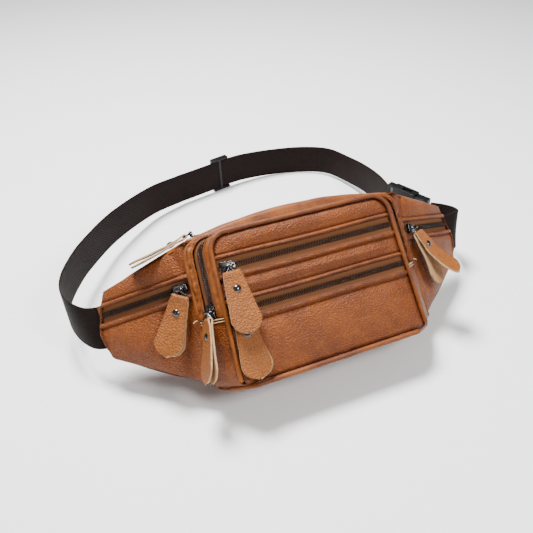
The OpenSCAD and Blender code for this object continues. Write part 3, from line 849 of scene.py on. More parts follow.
def calc(tree, op, a, b=0.0, clamp_it=False):
    return put(tree, "ShaderNodeMath", {0: a, 1: b}, operation=op, use_clamp=clamp_it).outputs[0]


def times(tree, a, b):
    return calc(tree, "MULTIPLY", a, b)


def plus(tree, a, b, clamp_it=False):
    return calc(tree, "ADD", a, b, clamp_it)


def minus(tree, a, b):
    return calc(tree, "SUBTRACT", a, b)


def blend_colour(tree, fac, a, b, mode="MIX"):
    return put(tree, "ShaderNodeMix", {0: fac, 6: a, 7: b}, data_type="RGBA", blend_type=mode).outputs[2]


def ramp(tree, value, lo, hi, a=0.0, b=1.0):
    ends = {"Value": value, "From Min": lo, "From Max": hi, "To Min": a, "To Max": b}
    return put(tree, "ShaderNodeMapRange", ends, interpolation_type="SMOOTHSTEP").outputs[0]


def new_group(name, inputs, outputs):
    tree = bpy.data.node_groups.new(name, "ShaderNodeTree")
    for label, kind in inputs:
        tree.interface.new_socket(label, in_out="INPUT", socket_type="NodeSocket" + kind)
    for label, kind in outputs:
        tree.interface.new_socket(label, in_out="OUTPUT", socket_type="NodeSocket" + kind)
    return tree, tree.nodes.new("NodeGroupInput"), tree.nodes.new("NodeGroupOutput")


def make_grain_group():
    """Pebbled leather: rounded grains, pores and soft creases."""
    t, i, o = new_group("Pebbled grain",
                        [("Vector", "Vector"), ("Grains per metre", "Float"), ("Crease", "Float")],
                        [("Height", "Float"), ("Valley", "Float")])
    vec, per = i.outputs["Vector"], i.outputs["Grains per metre"]
    bend = put(t, "ShaderNodeTexNoise", {"Vector": vec, "Scale": 420.0, "Detail": 2.0})
    push = put(t, "ShaderNodeVectorMath", {0: bend.outputs["Color"], 1: (0.0009, 0.0009, 0.0009)},
               operation="MULTIPLY").outputs[0]
    moved = put(t, "ShaderNodeVectorMath", {0: vec, 1: push}, operation="ADD").outputs[0]
    cells = put(t, "ShaderNodeTexVoronoi", {"Vector": moved, "Scale": per}, feature="SMOOTH_F1")
    cells.inputs["Smoothness"].default_value = 0.35
    pebble = ramp(t, cells.outputs["Distance"], 0.12, 0.72, 1.0, 0.0)
    big = put(t, "ShaderNodeTexVoronoi", {"Vector": moved, "Scale": times(t, per, 0.31)},
              feature="DISTANCE_TO_EDGE")
    line = ramp(t, big.outputs["Distance"], 0.0, 0.10, 0.0, 1.0)
    soft = put(t, "ShaderNodeTexNoise", {"Vector": vec, "Scale": 190.0, "Detail": 3.0})
    crease = times(t, minus(t, 1.0, line), i.outputs["Crease"])
    crease = times(t, crease, ramp(t, soft.outputs["Fac"], 0.45, 0.62))
    fine = put(t, "ShaderNodeTexNoise", {"Vector": vec, "Scale": 3600.0, "Detail": 2.0})
    h = plus(t, times(t, pebble, 0.75), times(t, fine.outputs["Fac"], 0.18))
    h = minus(t, h, times(t, crease, 0.55))
    h = plus(t, h, times(t, soft.outputs["Fac"], 0.35))
    t.links.new(h, o.inputs["Height"])
    t.links.new(plus(t, minus(t, 1.0, pebble), crease, True), o.inputs["Valley"])


def make_dye_and_shade_group():
    """Leather colour: cloudy dye, with painted shade darkening the grain's valleys and creases and the
    leather near its seams.
    """
    t, i, o = new_group("Dye and painted shade", [("Vector", "Vector"), ("Face", "Color"), ("Deep", "Color"),
                                          ("Pale", "Color"), ("Valley", "Float"), ("Seam", "Float"),
                                          ("Painted seam shade", "Float")],
                        [("Color", "Color"), ("Roughness", "Float")])
    vec = i.outputs["Vector"]
    cloud = put(t, "ShaderNodeTexNoise", {"Vector": vec, "Scale": 26.0, "Detail": 4.0, "Roughness": 0.62})
    mottle = put(t, "ShaderNodeTexNoise", {"Vector": vec, "Scale": 150.0, "Detail": 3.0})
    c = blend_colour(t, ramp(t, cloud.outputs["Fac"], 0.36, 0.66), i.outputs["Deep"], i.outputs["Face"])
    c = blend_colour(t, ramp(t, mottle.outputs["Fac"], 0.5, 0.8, 0.0, 0.25), c, i.outputs["Pale"])
    # Painted shade: this darker brown goes into the grain's valleys and creases, and near the seams.
    painted_shade_tone = blend_colour(t, 1.0, c, (0.30, 0.20, 0.14, 1.0), "MULTIPLY")
    c = blend_colour(t, times(t, i.outputs["Valley"], 0.34), c, painted_shade_tone)
    uneven = times(t, minus(t, mottle.outputs["Fac"], 0.5), 0.5)
    # Painted shade: the leather darkens towards its seams and panel edges, reaching in by an uneven amount.
    seam_reach = plus(t, i.outputs["Seam"], uneven)
    edge = times(t, ramp(t, seam_reach, 0.0, 0.45, 1.0, 0.0), i.outputs["Painted seam shade"])
    c = blend_colour(t, edge, c, painted_shade_tone)
    t.links.new(c, o.inputs["Color"])
    rough = plus(t, ramp(t, cloud.outputs["Fac"], 0.3, 0.7, 0.36, 0.46),
                 times(t, i.outputs["Valley"], 0.14))
    t.links.new(rough, o.inputs["Roughness"])


def wave(t, turns):
    """A sine of so many turns, from 0 to 1."""
    sine = calc(t, "SINE", times(t, turns, 2 * math.pi))
    return plus(t, times(t, sine, 0.5), 0.5)


def make_weave_group():
    """Woven band on its own UVs: ribs along it and picks across it, with a painted highlight on the raised
    yarns.
    """
    t, i, o = new_group("Woven band", [("Vector", "Vector"), ("Rib", "Float"), ("Pick", "Float"),
                                       ("Color", "Color"), ("Light", "Color")],
                        [("Color", "Color"), ("Height", "Float"), ("Roughness", "Float")])
    xyz = put(t, "ShaderNodeSeparateXYZ", {0: i.outputs["Vector"]})
    ribs = times(t, xyz.outputs[1], i.outputs["Rib"])
    rib = wave(t, ribs)
    step = times(t, calc(t, "FLOOR", ribs), 0.5)
    picks = plus(t, times(t, xyz.outputs[0], i.outputs["Pick"]), step)
    pick = wave(t, picks)
    h = plus(t, times(t, rib, 0.55), times(t, pick, 0.45))
    fuzz = put(t, "ShaderNodeTexNoise", {"Vector": i.outputs["Vector"], "Scale": 900.0, "Detail": 3.0})
    h = plus(t, h, times(t, fuzz.outputs["Fac"], 0.3))
    # Painted highlight: the raised yarns take the lighter colour, stronger in some patches than others.
    lit = times(t, ramp(t, h, 0.75, 1.25), 0.6)
    highlight_patches = put(t, "ShaderNodeTexNoise", {"Vector": i.outputs["Vector"], "Scale": 30.0, "Detail": 2.0})
    lit = times(t, lit, ramp(t, highlight_patches.outputs["Fac"], 0.3, 0.7, 0.5, 1.0))
    t.links.new(blend_colour(t, lit, i.outputs["Color"], i.outputs["Light"]), o.inputs["Color"])
    t.links.new(h, o.inputs["Height"])
    t.links.new(ramp(t, h, 0.0, 1.3, 0.85, 0.55), o.inputs["Roughness"])


def make_scuff_group():
    """Fine scuffs and speckle for metal, plastic and thread."""
    t, i, o = new_group("Fine scuffs", [("Vector", "Vector"), ("Color", "Color"), ("Rubbed", "Color"),
                                        ("Rough", "Float"), ("Spread", "Float"), ("Scale", "Float")],
                        [("Color", "Color"), ("Height", "Float"), ("Roughness", "Float")])
    vec = i.outputs["Vector"]
    fine = put(t, "ShaderNodeTexNoise", {"Vector": vec, "Scale": i.outputs["Scale"], "Detail": 4.0})
    broad = put(t, "ShaderNodeTexNoise", {"Vector": vec, "Scale": 220.0, "Detail": 2.0})
    rubbed = ramp(t, broad.outputs["Fac"], 0.48, 0.68, 0.0, 0.7)
    t.links.new(blend_colour(t, rubbed, i.outputs["Color"], i.outputs["Rubbed"]), o.inputs["Color"])
    t.links.new(fine.outputs["Fac"], o.inputs["Height"])
    uneven = times(t, minus(t, fine.outputs["Fac"], 0.5), i.outputs["Spread"])
    t.links.new(plus(t, i.outputs["Rough"], uneven), o.inputs["Roughness"])


def place_group(tree, name, inputs):
    return put(tree, "ShaderNodeGroup", inputs, node_tree=bpy.data.node_groups[name])


def start_material(name, coord="Object"):
    m = bpy.data.materials.new(name)
    m.use_nodes = True
    t = m.node_tree
    t.nodes.clear()
    out = t.nodes.new("ShaderNodeOutputMaterial")
    shader = t.nodes.new("ShaderNodeBsdfPrincipled")
    t.links.new(shader.outputs[0], out.inputs["Surface"])
    where = t.nodes.new("ShaderNodeTexCoord").outputs[coord]
    return t, shader, where


def link_finish(t, shader, group, gloss):
    """Gives a shader its colour and roughness from a node group."""
    t.links.new(group.outputs["Color"], shader.inputs["Base Color"])
    t.links.new(group.outputs["Roughness"], shader.inputs["Roughness"])
    shader.inputs["Specular IOR Level"].default_value = gloss


def add_bump(t, shader, height, depth_mm):
    b = put(t, "ShaderNodeBump", {"Height": height, "Distance": depth_mm * MM, "Strength": 1.0})
    t.links.new(b.outputs[0], shader.inputs["Normal"])


def leather(name, face, deep, pale, grains, depth_mm, seam_shade, crease):
    t, s, where = start_material(name)
    grain = place_group(t, "Pebbled grain", {"Vector": where, "Grains per metre": grains, "Crease": crease})
    seam = put(t, "ShaderNodeAttribute", attribute_name="seam").outputs["Fac"]
    dye = place_group(t, "Dye and painted shade", {
        "Vector": where, "Face": (*face, 1), "Deep": (*deep, 1), "Pale": (*pale, 1),
        "Valley": grain.outputs["Valley"], "Seam": seam, "Painted seam shade": seam_shade})
    link_finish(t, s, dye, 0.3)
    add_bump(t, s, grain.outputs["Height"], depth_mm)


def plain(name, color, rubbed, rough, depth_mm, spread=0.2, scale=2500.0, metallic=0.0, gloss=0.5):
    t, s, where = start_material(name)
    g = place_group(t, "Fine scuffs", {"Vector": where, "Color": (*color, 1), "Rubbed": (*rubbed, 1),
                                       "Rough": rough, "Spread": spread, "Scale": scale})
    link_finish(t, s, g, gloss)
    s.inputs["Metallic"].default_value = metallic
    add_bump(t, s, g.outputs["Height"], depth_mm)


def woven(name, color, highlight, ribs, picks, depth_mm):
    t, s, where = start_material(name, "UV")
    g = place_group(t, "Woven band", {"Vector": where, "Rib": ribs, "Pick": picks, "Color": (*color, 1),
                                      "Light": (*highlight, 1)})
    link_finish(t, s, g, 0.09)
    add_bump(t, s, g.outputs["Height"], depth_mm)


# ---- settings ----
def colour_prop(name, what, value):
    return bpy.props.FloatVectorProperty(name=name, description=what, subtype="COLOR", size=3, min=0, max=1,
                                         default=value)


def size_prop(name, what, value, low, high):
    return bpy.props.FloatProperty(name=name, description=what, default=value, min=low, max=high)


class WaistPackColours(bpy.types.PropertyGroup):
    """Colours of the pack's leather, thread, fabric and metal."""
    leather_face: colour_prop("Leather", "Tan of the body's leather", (0.200, 0.047, 0.0018))
    leather_deep: colour_prop("Deep dye", "Darker clouds in the leather's dye", (0.135, 0.029, 0.0012))
    leather_pale: colour_prop("Pale grain", "Rubbed tops of the grain", (0.32, 0.096, 0.008))
    piping_face: colour_prop("Piping", "Smooth leather of the piping and rolled edges", (0.28, 0.077, 0.0050))
    pull_face: colour_prop("Pull leather", "Grain side of the pulls", (0.285, 0.088, 0.012))
    raw_edge: colour_prop("Raw edge", "Cut edges of the pulls", (0.45, 0.27, 0.14))
    suede: colour_prop("Suede", "Flesh side of the leather", (0.34, 0.19, 0.085))
    # The thread itself is tan. Its colour here is set darker, adding painted shade of the stitch holes and
    # grooves it lies in.
    thread: colour_prop("Thread", "Stitching of the panels", (0.10, 0.030, 0.007))
    cream_thread: colour_prop("Cream thread", "Bar tacks at the gusset zip", (0.66, 0.45, 0.24))
    tape: colour_prop("Zip tape", "Woven tape of the zips", (0.175, 0.068, 0.027))
    coil: colour_prop("Coil", "Teeth of the zips", (0.018, 0.009, 0.0065))
    metal: colour_prop("Gunmetal", "Sliders, bails and rivets", (0.085, 0.082, 0.082))
    webbing: colour_prop("Webbing", "Yarn of the belt", (0.0055, 0.0027, 0.0021))
    plastic: colour_prop("Plastic", "Buckle and tri-glide", (0.0030, 0.0030, 0.0032))


class WaistPackSizes(bpy.types.PropertyGroup):
    """Sizes of the pack's finer detail."""
    grain: size_prop("Grain", "Width of one leather grain, in mm", 1.5, 0.4, 3)
    puff: size_prop("Puff", "How far the front pocket bulges, in mm", 4.2, 0, 6)
    stitch: size_prop("Stitch", "Length of one stitch and its gap, in mm", 2.7, 2, 5)
    tooth: size_prop("Tooth pitch", "Distance between zip teeth, in mm", 0.74, 0.5, 1.2)
    pad: size_prop("Back pad", "How far the back pad swells, in mm", 3.0, 0, 5)


class WAISTPACK_OT_finishes(bpy.types.Operator):
    """Makes the leather, fabric, thread, metal and plastic materials."""
    bl_idname = "waistpack.finishes"
    bl_label = "Finishes"

    def execute(self, context):
        c, z = context.scene.waistpack_colours, context.scene.waistpack_sizes
        make_grain_group()
        make_dye_and_shade_group()
        make_weave_group()
        make_scuff_group()
        face, deep, pale = c.leather_face, c.leather_deep, c.leather_pale
        per = 1000 / z.grain
        # The seam shade sets how strongly each leather is darkened near its seams: painted shade.
        leather("Tan leather", face, deep, pale, per, 0.62, seam_shade=0.85, crease=0.35)
        leather("Smooth leather", c.piping_face, deep, pale, per * 1.2, 0.2, seam_shade=0.3, crease=0.3)
        leather("Pull leather", c.pull_face, [v * 0.78 for v in c.pull_face], pale, per * 0.9, 0.6,
                seam_shade=0.25, crease=0.15)
        for name, colour, rubbed, rough, rest in (
                ("Raw edge", c.raw_edge, 0.62, 0.85, {"scale": 1800.0, "depth_mm": 0.35, "gloss": 0.2}),
                ("Suede", c.suede, 0.7, 0.9, {"scale": 1500.0, "depth_mm": 0.25, "gloss": 0.2}),
                ("Tan thread", c.thread, 0.7, 0.55, {"scale": 4000.0, "depth_mm": 0.05}),
                ("Cream thread", c.cream_thread, 0.8, 0.6, {"scale": 4000.0, "depth_mm": 0.05}),
                ("Zip coil", c.coil, 1.8, 0.24,
                 {"spread": 0.15, "scale": 3000.0, "depth_mm": 0.01, "gloss": 0.7}),
                ("Gunmetal", c.metal, 1.7, 0.22, {"spread": 0.22, "depth_mm": 0.01, "metallic": 1.0}),
                ("Black plastic", c.plastic, 2.2, 0.34, {"depth_mm": 0.02, "gloss": 0.2})):
            plain(name, colour, [v * rubbed for v in colour], rough, **rest)
        woven("Zip tape", c.tape, [min(v * 1.9, 1) for v in c.tape], 1400.0, 900.0, 0.10)
        woven("Webbing", c.webbing, [v * 9.0 for v in c.webbing], 560.0, 420.0, 0.28)
        woven("Lining", [v * 0.3 for v in c.tape], [v * 0.6 for v in c.tape], 1500.0, 1500.0, 0.08)
        return {"FINISHED"}


def given(obj, node):
    """A piece that stands for a CAD node, whose own mesh is hidden."""
    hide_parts(node)
    return obj


def lined(name, node, place, nu, nv, out, thick, edge, face="Tan leather", seam=7.0):
    """A leather panel with lining behind it, standing for a CAD node."""
    return given(panel(name, [(place, nu, nv)], [face, "Lining"], out, thick, edge, inner=1, seam=seam), node)


class WAISTPACK_OT_back_pad(bpy.types.Operator):
    """Makes the padded back panel and lines the pouch wall."""
    bl_idname = "waistpack.back_pad"
    bl_label = "Back pad"

    def execute(self, context):
        swell = context.scene.waistpack_sizes.pad

        def place(side):
            def at(u, v):
                x = mix(-(WING_X - 0.8), WING_X - 0.8, u)
                lo, hi = low_z(x), top_z(x)
                if abs(x) >= WING_X - 6:
                    lo = mix(TIP_LOW_Z, TIP_MID_Z, (abs(x) - WING_X + 6) / 6)
                if abs(x) >= WING_X - 12:
                    hi = mix(TIP_TOP_Z, TIP_MID_Z, (abs(x) - WING_X + 12) / 12)
                z = mix(lo + 0.4, max(hi, lo + 1) - 0.6, v)
                edge = min(min(u, 1 - u) * 2 * WING_X, v * (hi - lo), (1 - v) * (hi - lo))
                rim = smooth(edge / 9)
                groove = math.exp(-((edge - PAD_SEAM) / 1.6) ** 2)
                y = back_y(x)
                if side > 0:
                    roll = 1.6 * smooth((2.2 - edge) / 2.2)
                    p = (x, y + swell * rim * smooth((edge - 6) / 22) - 1.0 * groove - roll, z)
                else:
                    p = (x, y - 3.2 + 0.9 * smooth((2.2 - edge) / 2.2), z)
                w = pack_point(*p)
                return w + REAR * MM * (wobble(w, 30, 0.8, 11) * rim if side > 0 else 0)
            return at

        bm = bmesh.new()
        lay_grid(bm, place(1), 150, 56, REAR)
        lay_grid(bm, place(-1), 150, 56, FORE)
        loose = [e for e in bm.edges if e.is_boundary]
        bmesh.ops.bridge_loops(bm, edges=loose)
        bmesh.ops.recalc_face_normals(bm, faces=bm.faces)
        pad = finish_mesh("back_pad", bm, ["Tan leather"])
        given(pad, "back_panel")
        ring, m = [], (PAD_SEAM / (2 * WING_X), PAD_SEAM / 110)
        for k in range(240):
            a = k / 240 * 4
            side, f = int(a), a - int(a)
            u, v = ((mix(m[0], 1 - m[0], f), m[1]), (1 - m[0], mix(m[1], 1 - m[1], f)),
                    (mix(1 - m[0], m[0], f), 1 - m[1]), (m[0], mix(1 - m[1], m[1], f)))[side]
            ring.append(place(1)(u, v))
        rows = stitch_row(ring, REAR, context.scene.waistpack_sizes.stitch * 1.2)
        repeat("back_stitches", bead(BACK_STITCH), rows, "Tan thread")

        def lining(u, v):
            x = mix(-(SEAM_TOP - 0.5), SEAM_TOP - 0.5, u)
            w = pack_point(x, -BODY_D + 0.45, mix(low_z(x) + LEATHER + 0.3, top_z(x) - LEATHER - 0.3, v))
            return w + REAR * MM * wobble(w, 40, 0.15, 21)

        divider = given(panel("pouch_divider_lining", [(lining, 90, 56)], ["Lining"], FORE,
                              LINING_WALL, 0.1), "pouch_divider")
        return {"FINISHED"}


class WAISTPACK_OT_rims(bpy.types.Operator):
    """Makes the top edge's front and rear strips and the bottom panel."""
    bl_idname = "waistpack.rims"
    bl_label = "Top and bottom"

    def execute(self, context):
        lined("top_front_strip", "top_panel", top_profile("front"), 190, 22, UP, RIM_WALL, 0.4,
              face="Smooth leather")
        lined("top_rear_strip", "top_panel", top_profile("rear"), 190, 14, UP, RIM_WALL, 0.4)
        lined("bottom_panel_leather", "bottom_panel", base_profile, 200, 16, DOWN, BASE_WALL, 0.4)
        return {"FINISHED"}


class WAISTPACK_OT_wings(bpy.types.Operator):
    """Makes the two panels of each wing, either side of its zip."""
    bl_idname = "waistpack.wings"
    bl_label = "Wings"

    def execute(self, context):
        for name, side in (("left", -1), ("right", 1)):
            for part, node, upper, rows in (("top", "upper", True, 40), ("low", "lower", False, 84)):
                lined(f"{name}_wing_{part}_leather", f"{name}_wing_{node}", wing_panel(side, upper), 84, rows,
                      wing_out(side), WING_WALL, 0.4)
        return {"FINISHED"}


def strips(sizes):
    """The front panel's strips by CAD node: each one's shape, rows of faces and height in mm."""
    half, puff = SLOT_W / 2, sizes.puff * 0.62
    found = {}
    for k, (node, low, high, lip_low, lip_high, rows) in enumerate((
            ("front_strip_top", ZIP_UPPER + half, FRONT_HIGH, True, False, 34),
            ("front_strip_middle", ZIP_LOWER + half, ZIP_UPPER - half, True, True, 36),
            ("front_strip_bottom", FRONT_LOW, ZIP_LOWER - half, False, True, 64))):
        found[node] = (front_strip(low, high, puff, lip_low, lip_high, k + 1.0), rows, high - low)
    return found


class WAISTPACK_OT_front_panel(bpy.types.Operator):
    """Makes the three strips of the front pocket with their folded lips."""
    bl_idname = "waistpack.front_panel"
    bl_label = "Front pocket"

    def execute(self, context):
        out = zip_out("upper_front")
        for node, (place, rows, _) in strips(context.scene.waistpack_sizes).items():
            lined(node + "_leather", node, place, 130, rows, out, FRONT_WALL, 0.3, seam=9.0)
        return {"FINISHED"}


def crumple(u, s, seed):
    return noise.noise(Vector((u * 70 + seed, s * 5, seed))) * 2.2


class WAISTPACK_OT_gusset(bpy.types.Operator):
    """Makes the pouch's side wall: the bands either side of its zip and its base."""
    bl_idname = "waistpack.gusset"
    bl_label = "Gusset"

    def execute(self, context):
        high, low = Wall(True, GUSSET_END), Wall(False, GUSSET_END - 0.2)

        def rear(u, v):
            s = mix(*REAR_BAND, v)
            return high.at(u, s, (1.0 + crumple(u, s, 4.0)) * arch(v, 0.6) + 0.4 * smooth((v - 0.8) / 0.15))

        def front(u, v):
            s = mix(*FRONT_BAND, v)
            puff = (0.9 + 0.4 * crumple(u, s, 9.0)) * arch(v, 0.6)
            return high.at(u, s, puff - 0.8 * smooth((v - 0.7) / 0.3))

        def base(u, v):
            s = mix(REAR_BAND[0], FRONT_BAND[1], v)
            p = low.at(u, s, 0)
            lump = 1.6 * arch(v, 0.6) + wobble(p, 14, 1.0, 6.0) * arch(v, 0.5)
            floor_part = smooth((8 - low.raw(u, s).z) / 6)
            top_part = smooth(min(u, 1 - u) / 0.05)
            return low.at(u, s, lump * (1 - floor_part) * top_part)

        for part, node, place, face in (("rear", "gusset_rear_band", rear, "Smooth leather"),
                                        ("front", "gusset_front_band", front, "Smooth leather")):
            lined(f"gusset_{part}_leather", node, place, 240, 12, UP, GUSSET_WALL, 0.3, face)
        lined("gusset_base_leather", "gusset_base", base, 200, 26, DOWN, GUSSET_WALL, 0.3)
        bm = bmesh.new()
        for side, u in ((-1, 0.0), (1, 1.0)):
            out = high.at(u, 0.5, 5) - high.at(u, 0.5, 0)
            for shift, start, end, lift, sway, radius in ((0.004, 0.02, 0.92, 0.62, 0.1, 0.42),
                                                          (0.011, 0.04, 0.90, 0.60, -0.1, 0.40)):
                path = [low.at(abs(u - shift), mix(start, end, k / 14), lift + sway * math.sin(k * 1.9))
                        for k in range(15)]
                draw_tube(bm, path, radius, out, sides=8)
            tail = high.at(u, 0.02, 0.62)
            path = [tail + pack_dir(side, 0.3, 0.9 - 0.25 * k) * MM * k * 1.4 for k in range(1, 5)]
            draw_tube(bm, [tail] + path, 0.35, FORE, sides=8)
        finish_mesh("gusset_bar_tacks", bm, ["Cream thread"])
        return {"FINISHED"}


class WAISTPACK_OT_piping(bpy.types.Operator):
    """Makes the piping of the front panel, of the pouch's seam and of its foot."""
    bl_idname = "waistpack.piping"
    bl_label = "Piping"

    def execute(self, context):
        wall = Wall(True, 5)
        us = [k / 200 for k in range(201)]
        ups = [pack_dir(*wall.normal(u)) for u in us]
        bm = bmesh.new()
        path = [wall.at(u, 0.97, 0.4 + 0.25 * noise.noise(Vector((u * 22, 1, 2)))) for u in us]
        draw_tube(bm, path, lambda f: 2.0 + 0.12 * noise.noise(Vector((f * 50, 3, 0))), ups, sides=14)
        given(finish_mesh("front_piping_cord", bm, ["Smooth leather"]), "front_piping")
        bm = bmesh.new()
        path = [wall.at(u, -0.02, 0.3 + 0.3 * noise.noise(Vector((u * 18, 5, 2)))) for u in us]
        draw_tube(bm, path, lambda f: 1.8 + 0.35 * noise.noise(Vector((f * 60, 8, 1))), ups, sides=12)
        finish_mesh("seam_piping_cord", bm, ["Smooth leather"])
        turn = 10
        base_x = FRONT_BASE - turn * 0.4
        half = [(base_x * k / 12, -DEPTH_BASE) for k in range(12)]
        half += [(base_x - turn + turn * math.cos(a), -DEPTH_BASE + turn + turn * math.sin(a))
                 for a in [math.radians(mix(-90, -41, k / 8)) for k in range(9)]]
        half += [(mix(half[-1][0], SEAM_BASE - 0.5, k / 5), mix(half[-1][1], -BODY_D - 0.5, k / 5))
                 for k in range(1, 6)]
        full = [(-x, y) for x, y in reversed(half[1:])] + half
        bm = bmesh.new()
        path = []
        for x, y in full:
            z = -0.8 + 1.6 * smooth((abs(x) - 98) / 8) + 0.3 * noise.noise(Vector((x * 0.05, y * 0.05, 7)))
            path.append(pack_point(x * (1 - 0.02 * smooth((abs(x) - 96) / 10)), y - 0.2, z))
        draw_tube(bm, path, lambda f: mix(0.9, 2.2, smooth(min(f, 1 - f) / 0.06)), UP,
                  sides=14)
        given(finish_mesh("base_piping_cord", bm, ["Smooth leather"]), "base_piping")
        return {"FINISHED"}


class WAISTPACK_OT_zips(bpy.types.Operator):
    """Makes the woven tapes and the interlocked teeth of the six zips."""
    bl_idname = "waistpack.zips"
    bl_label = "Zips"

    def execute(self, context):
        pitch = context.scene.waistpack_sizes.tooth
        for name in ZIPS:
            pts, outs = zip_path(name)
            reach = 6.4 if name == "gusset" else 9.2

            def across(k):
                t = (pts[min(k + 1, len(pts) - 1)] - pts[max(k - 1, 0)]).normalized()
                return outs[k].cross(t).normalized()

            def half(side):
                def at(u, v):
                    k = min(int(round(u * (len(pts) - 1))), len(pts) - 1)
                    d = mix(0.15, reach, v)
                    hem = 0.25 * math.exp(-((d - 3.6) / 0.5) ** 2)
                    return pts[k] + (across(k) * side * d + outs[k] * (hem - 0.05)) * MM
                return at

            n = len(pts) - 1
            mid = outs[len(outs) // 2]
            given(panel("zip_tape_" + name, [(half(1), n, 10), (half(-1), n, 10)], ["Zip tape"], mid,
                        TAPE_WALL, 0.0, seam=3.0), "tape_" + name)
            rows = []
            for side in (1, -1):
                for d in (3.3, 4.3):
                    line = [pts[k] + (across(k) * side * d + outs[k] * 0.04) * MM for k in range(len(pts))]
                    rows += stitch_row(line, outs, 1.7)
            repeat("zip_sewing_" + name, bead(TAPE_STITCH, 4, 4), rows, "Tan thread")
            places = []
            for k, (p, t, up) in enumerate(walk(pts, outs, pitch)):
                side = 1 if k % 2 else -1
                lay = up.cross(t)
                at = p + (lay * side * TOOTH_OUT + up * TOOTH_LIFT) * MM
                places.append(axes_at(at, lay + t * 0.12 * side, up))
            given(repeat("zip_teeth_" + name, bead(TOOTH), places, "Zip coil"), "coil_" + name)
        return {"FINISHED"}


class WAISTPACK_OT_sliders(bpy.types.Operator):
    """Makes the six sliders with their bridges, and the bails that hang from them."""
    bl_idname = "waistpack.sliders"
    bl_label = "Sliders and bails"

    def execute(self, context):
        for name in ZIPS:
            along, bar = zip_frame(name)
            bm = bmesh.new()

            def nose(v):
                return Vector((v.x, v.y * (0.62 if v.x > 0 else 1.0), v.z - (0.25 if v.x > 0 else 0)))
            add_block(bm, along, (12, 9.4, 1.7), (0, 0, 2.85), bevel=0.75, segments=3, taper=nose)
            for side in (-1, 1):
                add_block(bm, along, (9.5, 1.15, 2.4), (-0.6, side * 3.85, 1.6), bevel=0.35)
            add_block(bm, along, (5.2, 2.6, 0.9), (0.8, 0, 3.9), bevel=0.4)
            hoop = [(-3.5, 3.0), (-3.9, 4.6), (-3.5, 6.1), (-2.4, 6.9), (-1.2, 7.0), (1.2, 7.0), (2.4, 6.9),
                    (3.5, 6.1), (3.9, 4.6), (3.5, 3.0)]
            draw_tube(bm, [bar @ Vector((x, 0, z)) for x, z in hoop], 0.88,
                      (bar.to_3x3() @ Vector((0, 1, 0))).normalized(), sides=12)
            given(finish_mesh("zip_slider_" + name, bm, ["Gunmetal"], "slider_" + name), "slider_" + name)
            m = hang_frame(name)
            bm = bmesh.new()
            turn = m @ Matrix.Rotation(math.pi / 2, 4, "Y")
            collar = [(0.98, -1.6), (1.75, -1.6), (1.85, -1.2), (1.85, 1.2), (1.75, 1.6), (0.98, 1.6),
                      (0.98, -1.6)]
            spin_shape(bm, turn, collar, steps=20)
            wire = [(-1.1, -1.3), (-2.4, -3.0), (-4.3, -4.9), (-5.1, -6.1), (-4.8, -6.8), (-4.0, -6.9),
                    (0, -6.9), (4.0, -6.9), (4.8, -6.8), (5.1, -6.1), (4.3, -4.9), (2.4, -3.0), (1.1, -1.3)]
            draw_tube(bm, [m @ Vector((x, y, 0)) for x, y in wire], 0.72,
                      (m.to_3x3() @ Vector((0, 0, 1))).normalized(), sides=10)
            given(finish_mesh("zip_bail_" + name, bm, ["Gunmetal"], "pull_" + name), "bail_" + name)
        return {"FINISHED"}


class WAISTPACK_OT_pulls(bpy.types.Operator):
    """Makes the six folded leather pulls and their domed rivets."""
    bl_idname = "waistpack.pulls"
    bl_label = "Pulls and rivets"

    def execute(self, context):
        for name in ZIPS:
            m = pull_frame(name)
            out = (m.to_3x3() @ Vector((0, 0, 1))).normalized()
            place = pull_sheet(name)
            bm = bmesh.new()
            lay_grid(bm, place, 22, 132, None, seam=3.0)
            face = min(bm.faces, key=lambda f: (f.calc_center_median() - place(0.5, 0.2)).length_squared)
            if face.normal.dot(out) < 0:
                bmesh.ops.reverse_faces(bm, faces=bm.faces)
            faces = ["Pull leather", "Suede", "Raw edge"]
            obj = finish_mesh("leather_pull_" + name, bm, faces, "pull_" + name)
            given(give_wall(obj, PULL_WALL, 0.28, inner=1, rim=2), "pull_" + name)
            bm = bmesh.new()
            dome = [(0.0, 1.5), (0.8, 1.45), (1.6, 1.25), (2.4, 0.85), (3.0, 0.35), (3.3, 0.0), (3.2, -0.25),
                    (0.0, -0.25)]
            for front in (True, False):
                x, z = pull_layer(name, RIVET_Y, front)
                flip = Matrix.Identity(4) if front else (
                    Matrix.Rotation(math.pi, 4, "X") @ Matrix.Diagonal((1, 1, 0.45, 1)))
                spin_shape(bm, m @ Matrix.Translation((x, RIVET_Y, z)) @ flip, dome, steps=28)
            top, low = pull_layer(name, RIVET_Y, True)[1], pull_layer(name, RIVET_Y, False)[1]
            spin_shape(bm, m @ Matrix.Translation((0, RIVET_Y, 0)),
                       [(0.0, low), (1.4, low), (1.4, top), (0.0, top)], steps=16)
            given(finish_mesh("pull_rivet_" + name, bm, ["Gunmetal"], "pull_" + name), "rivet_" + name)
        return {"FINISHED"}


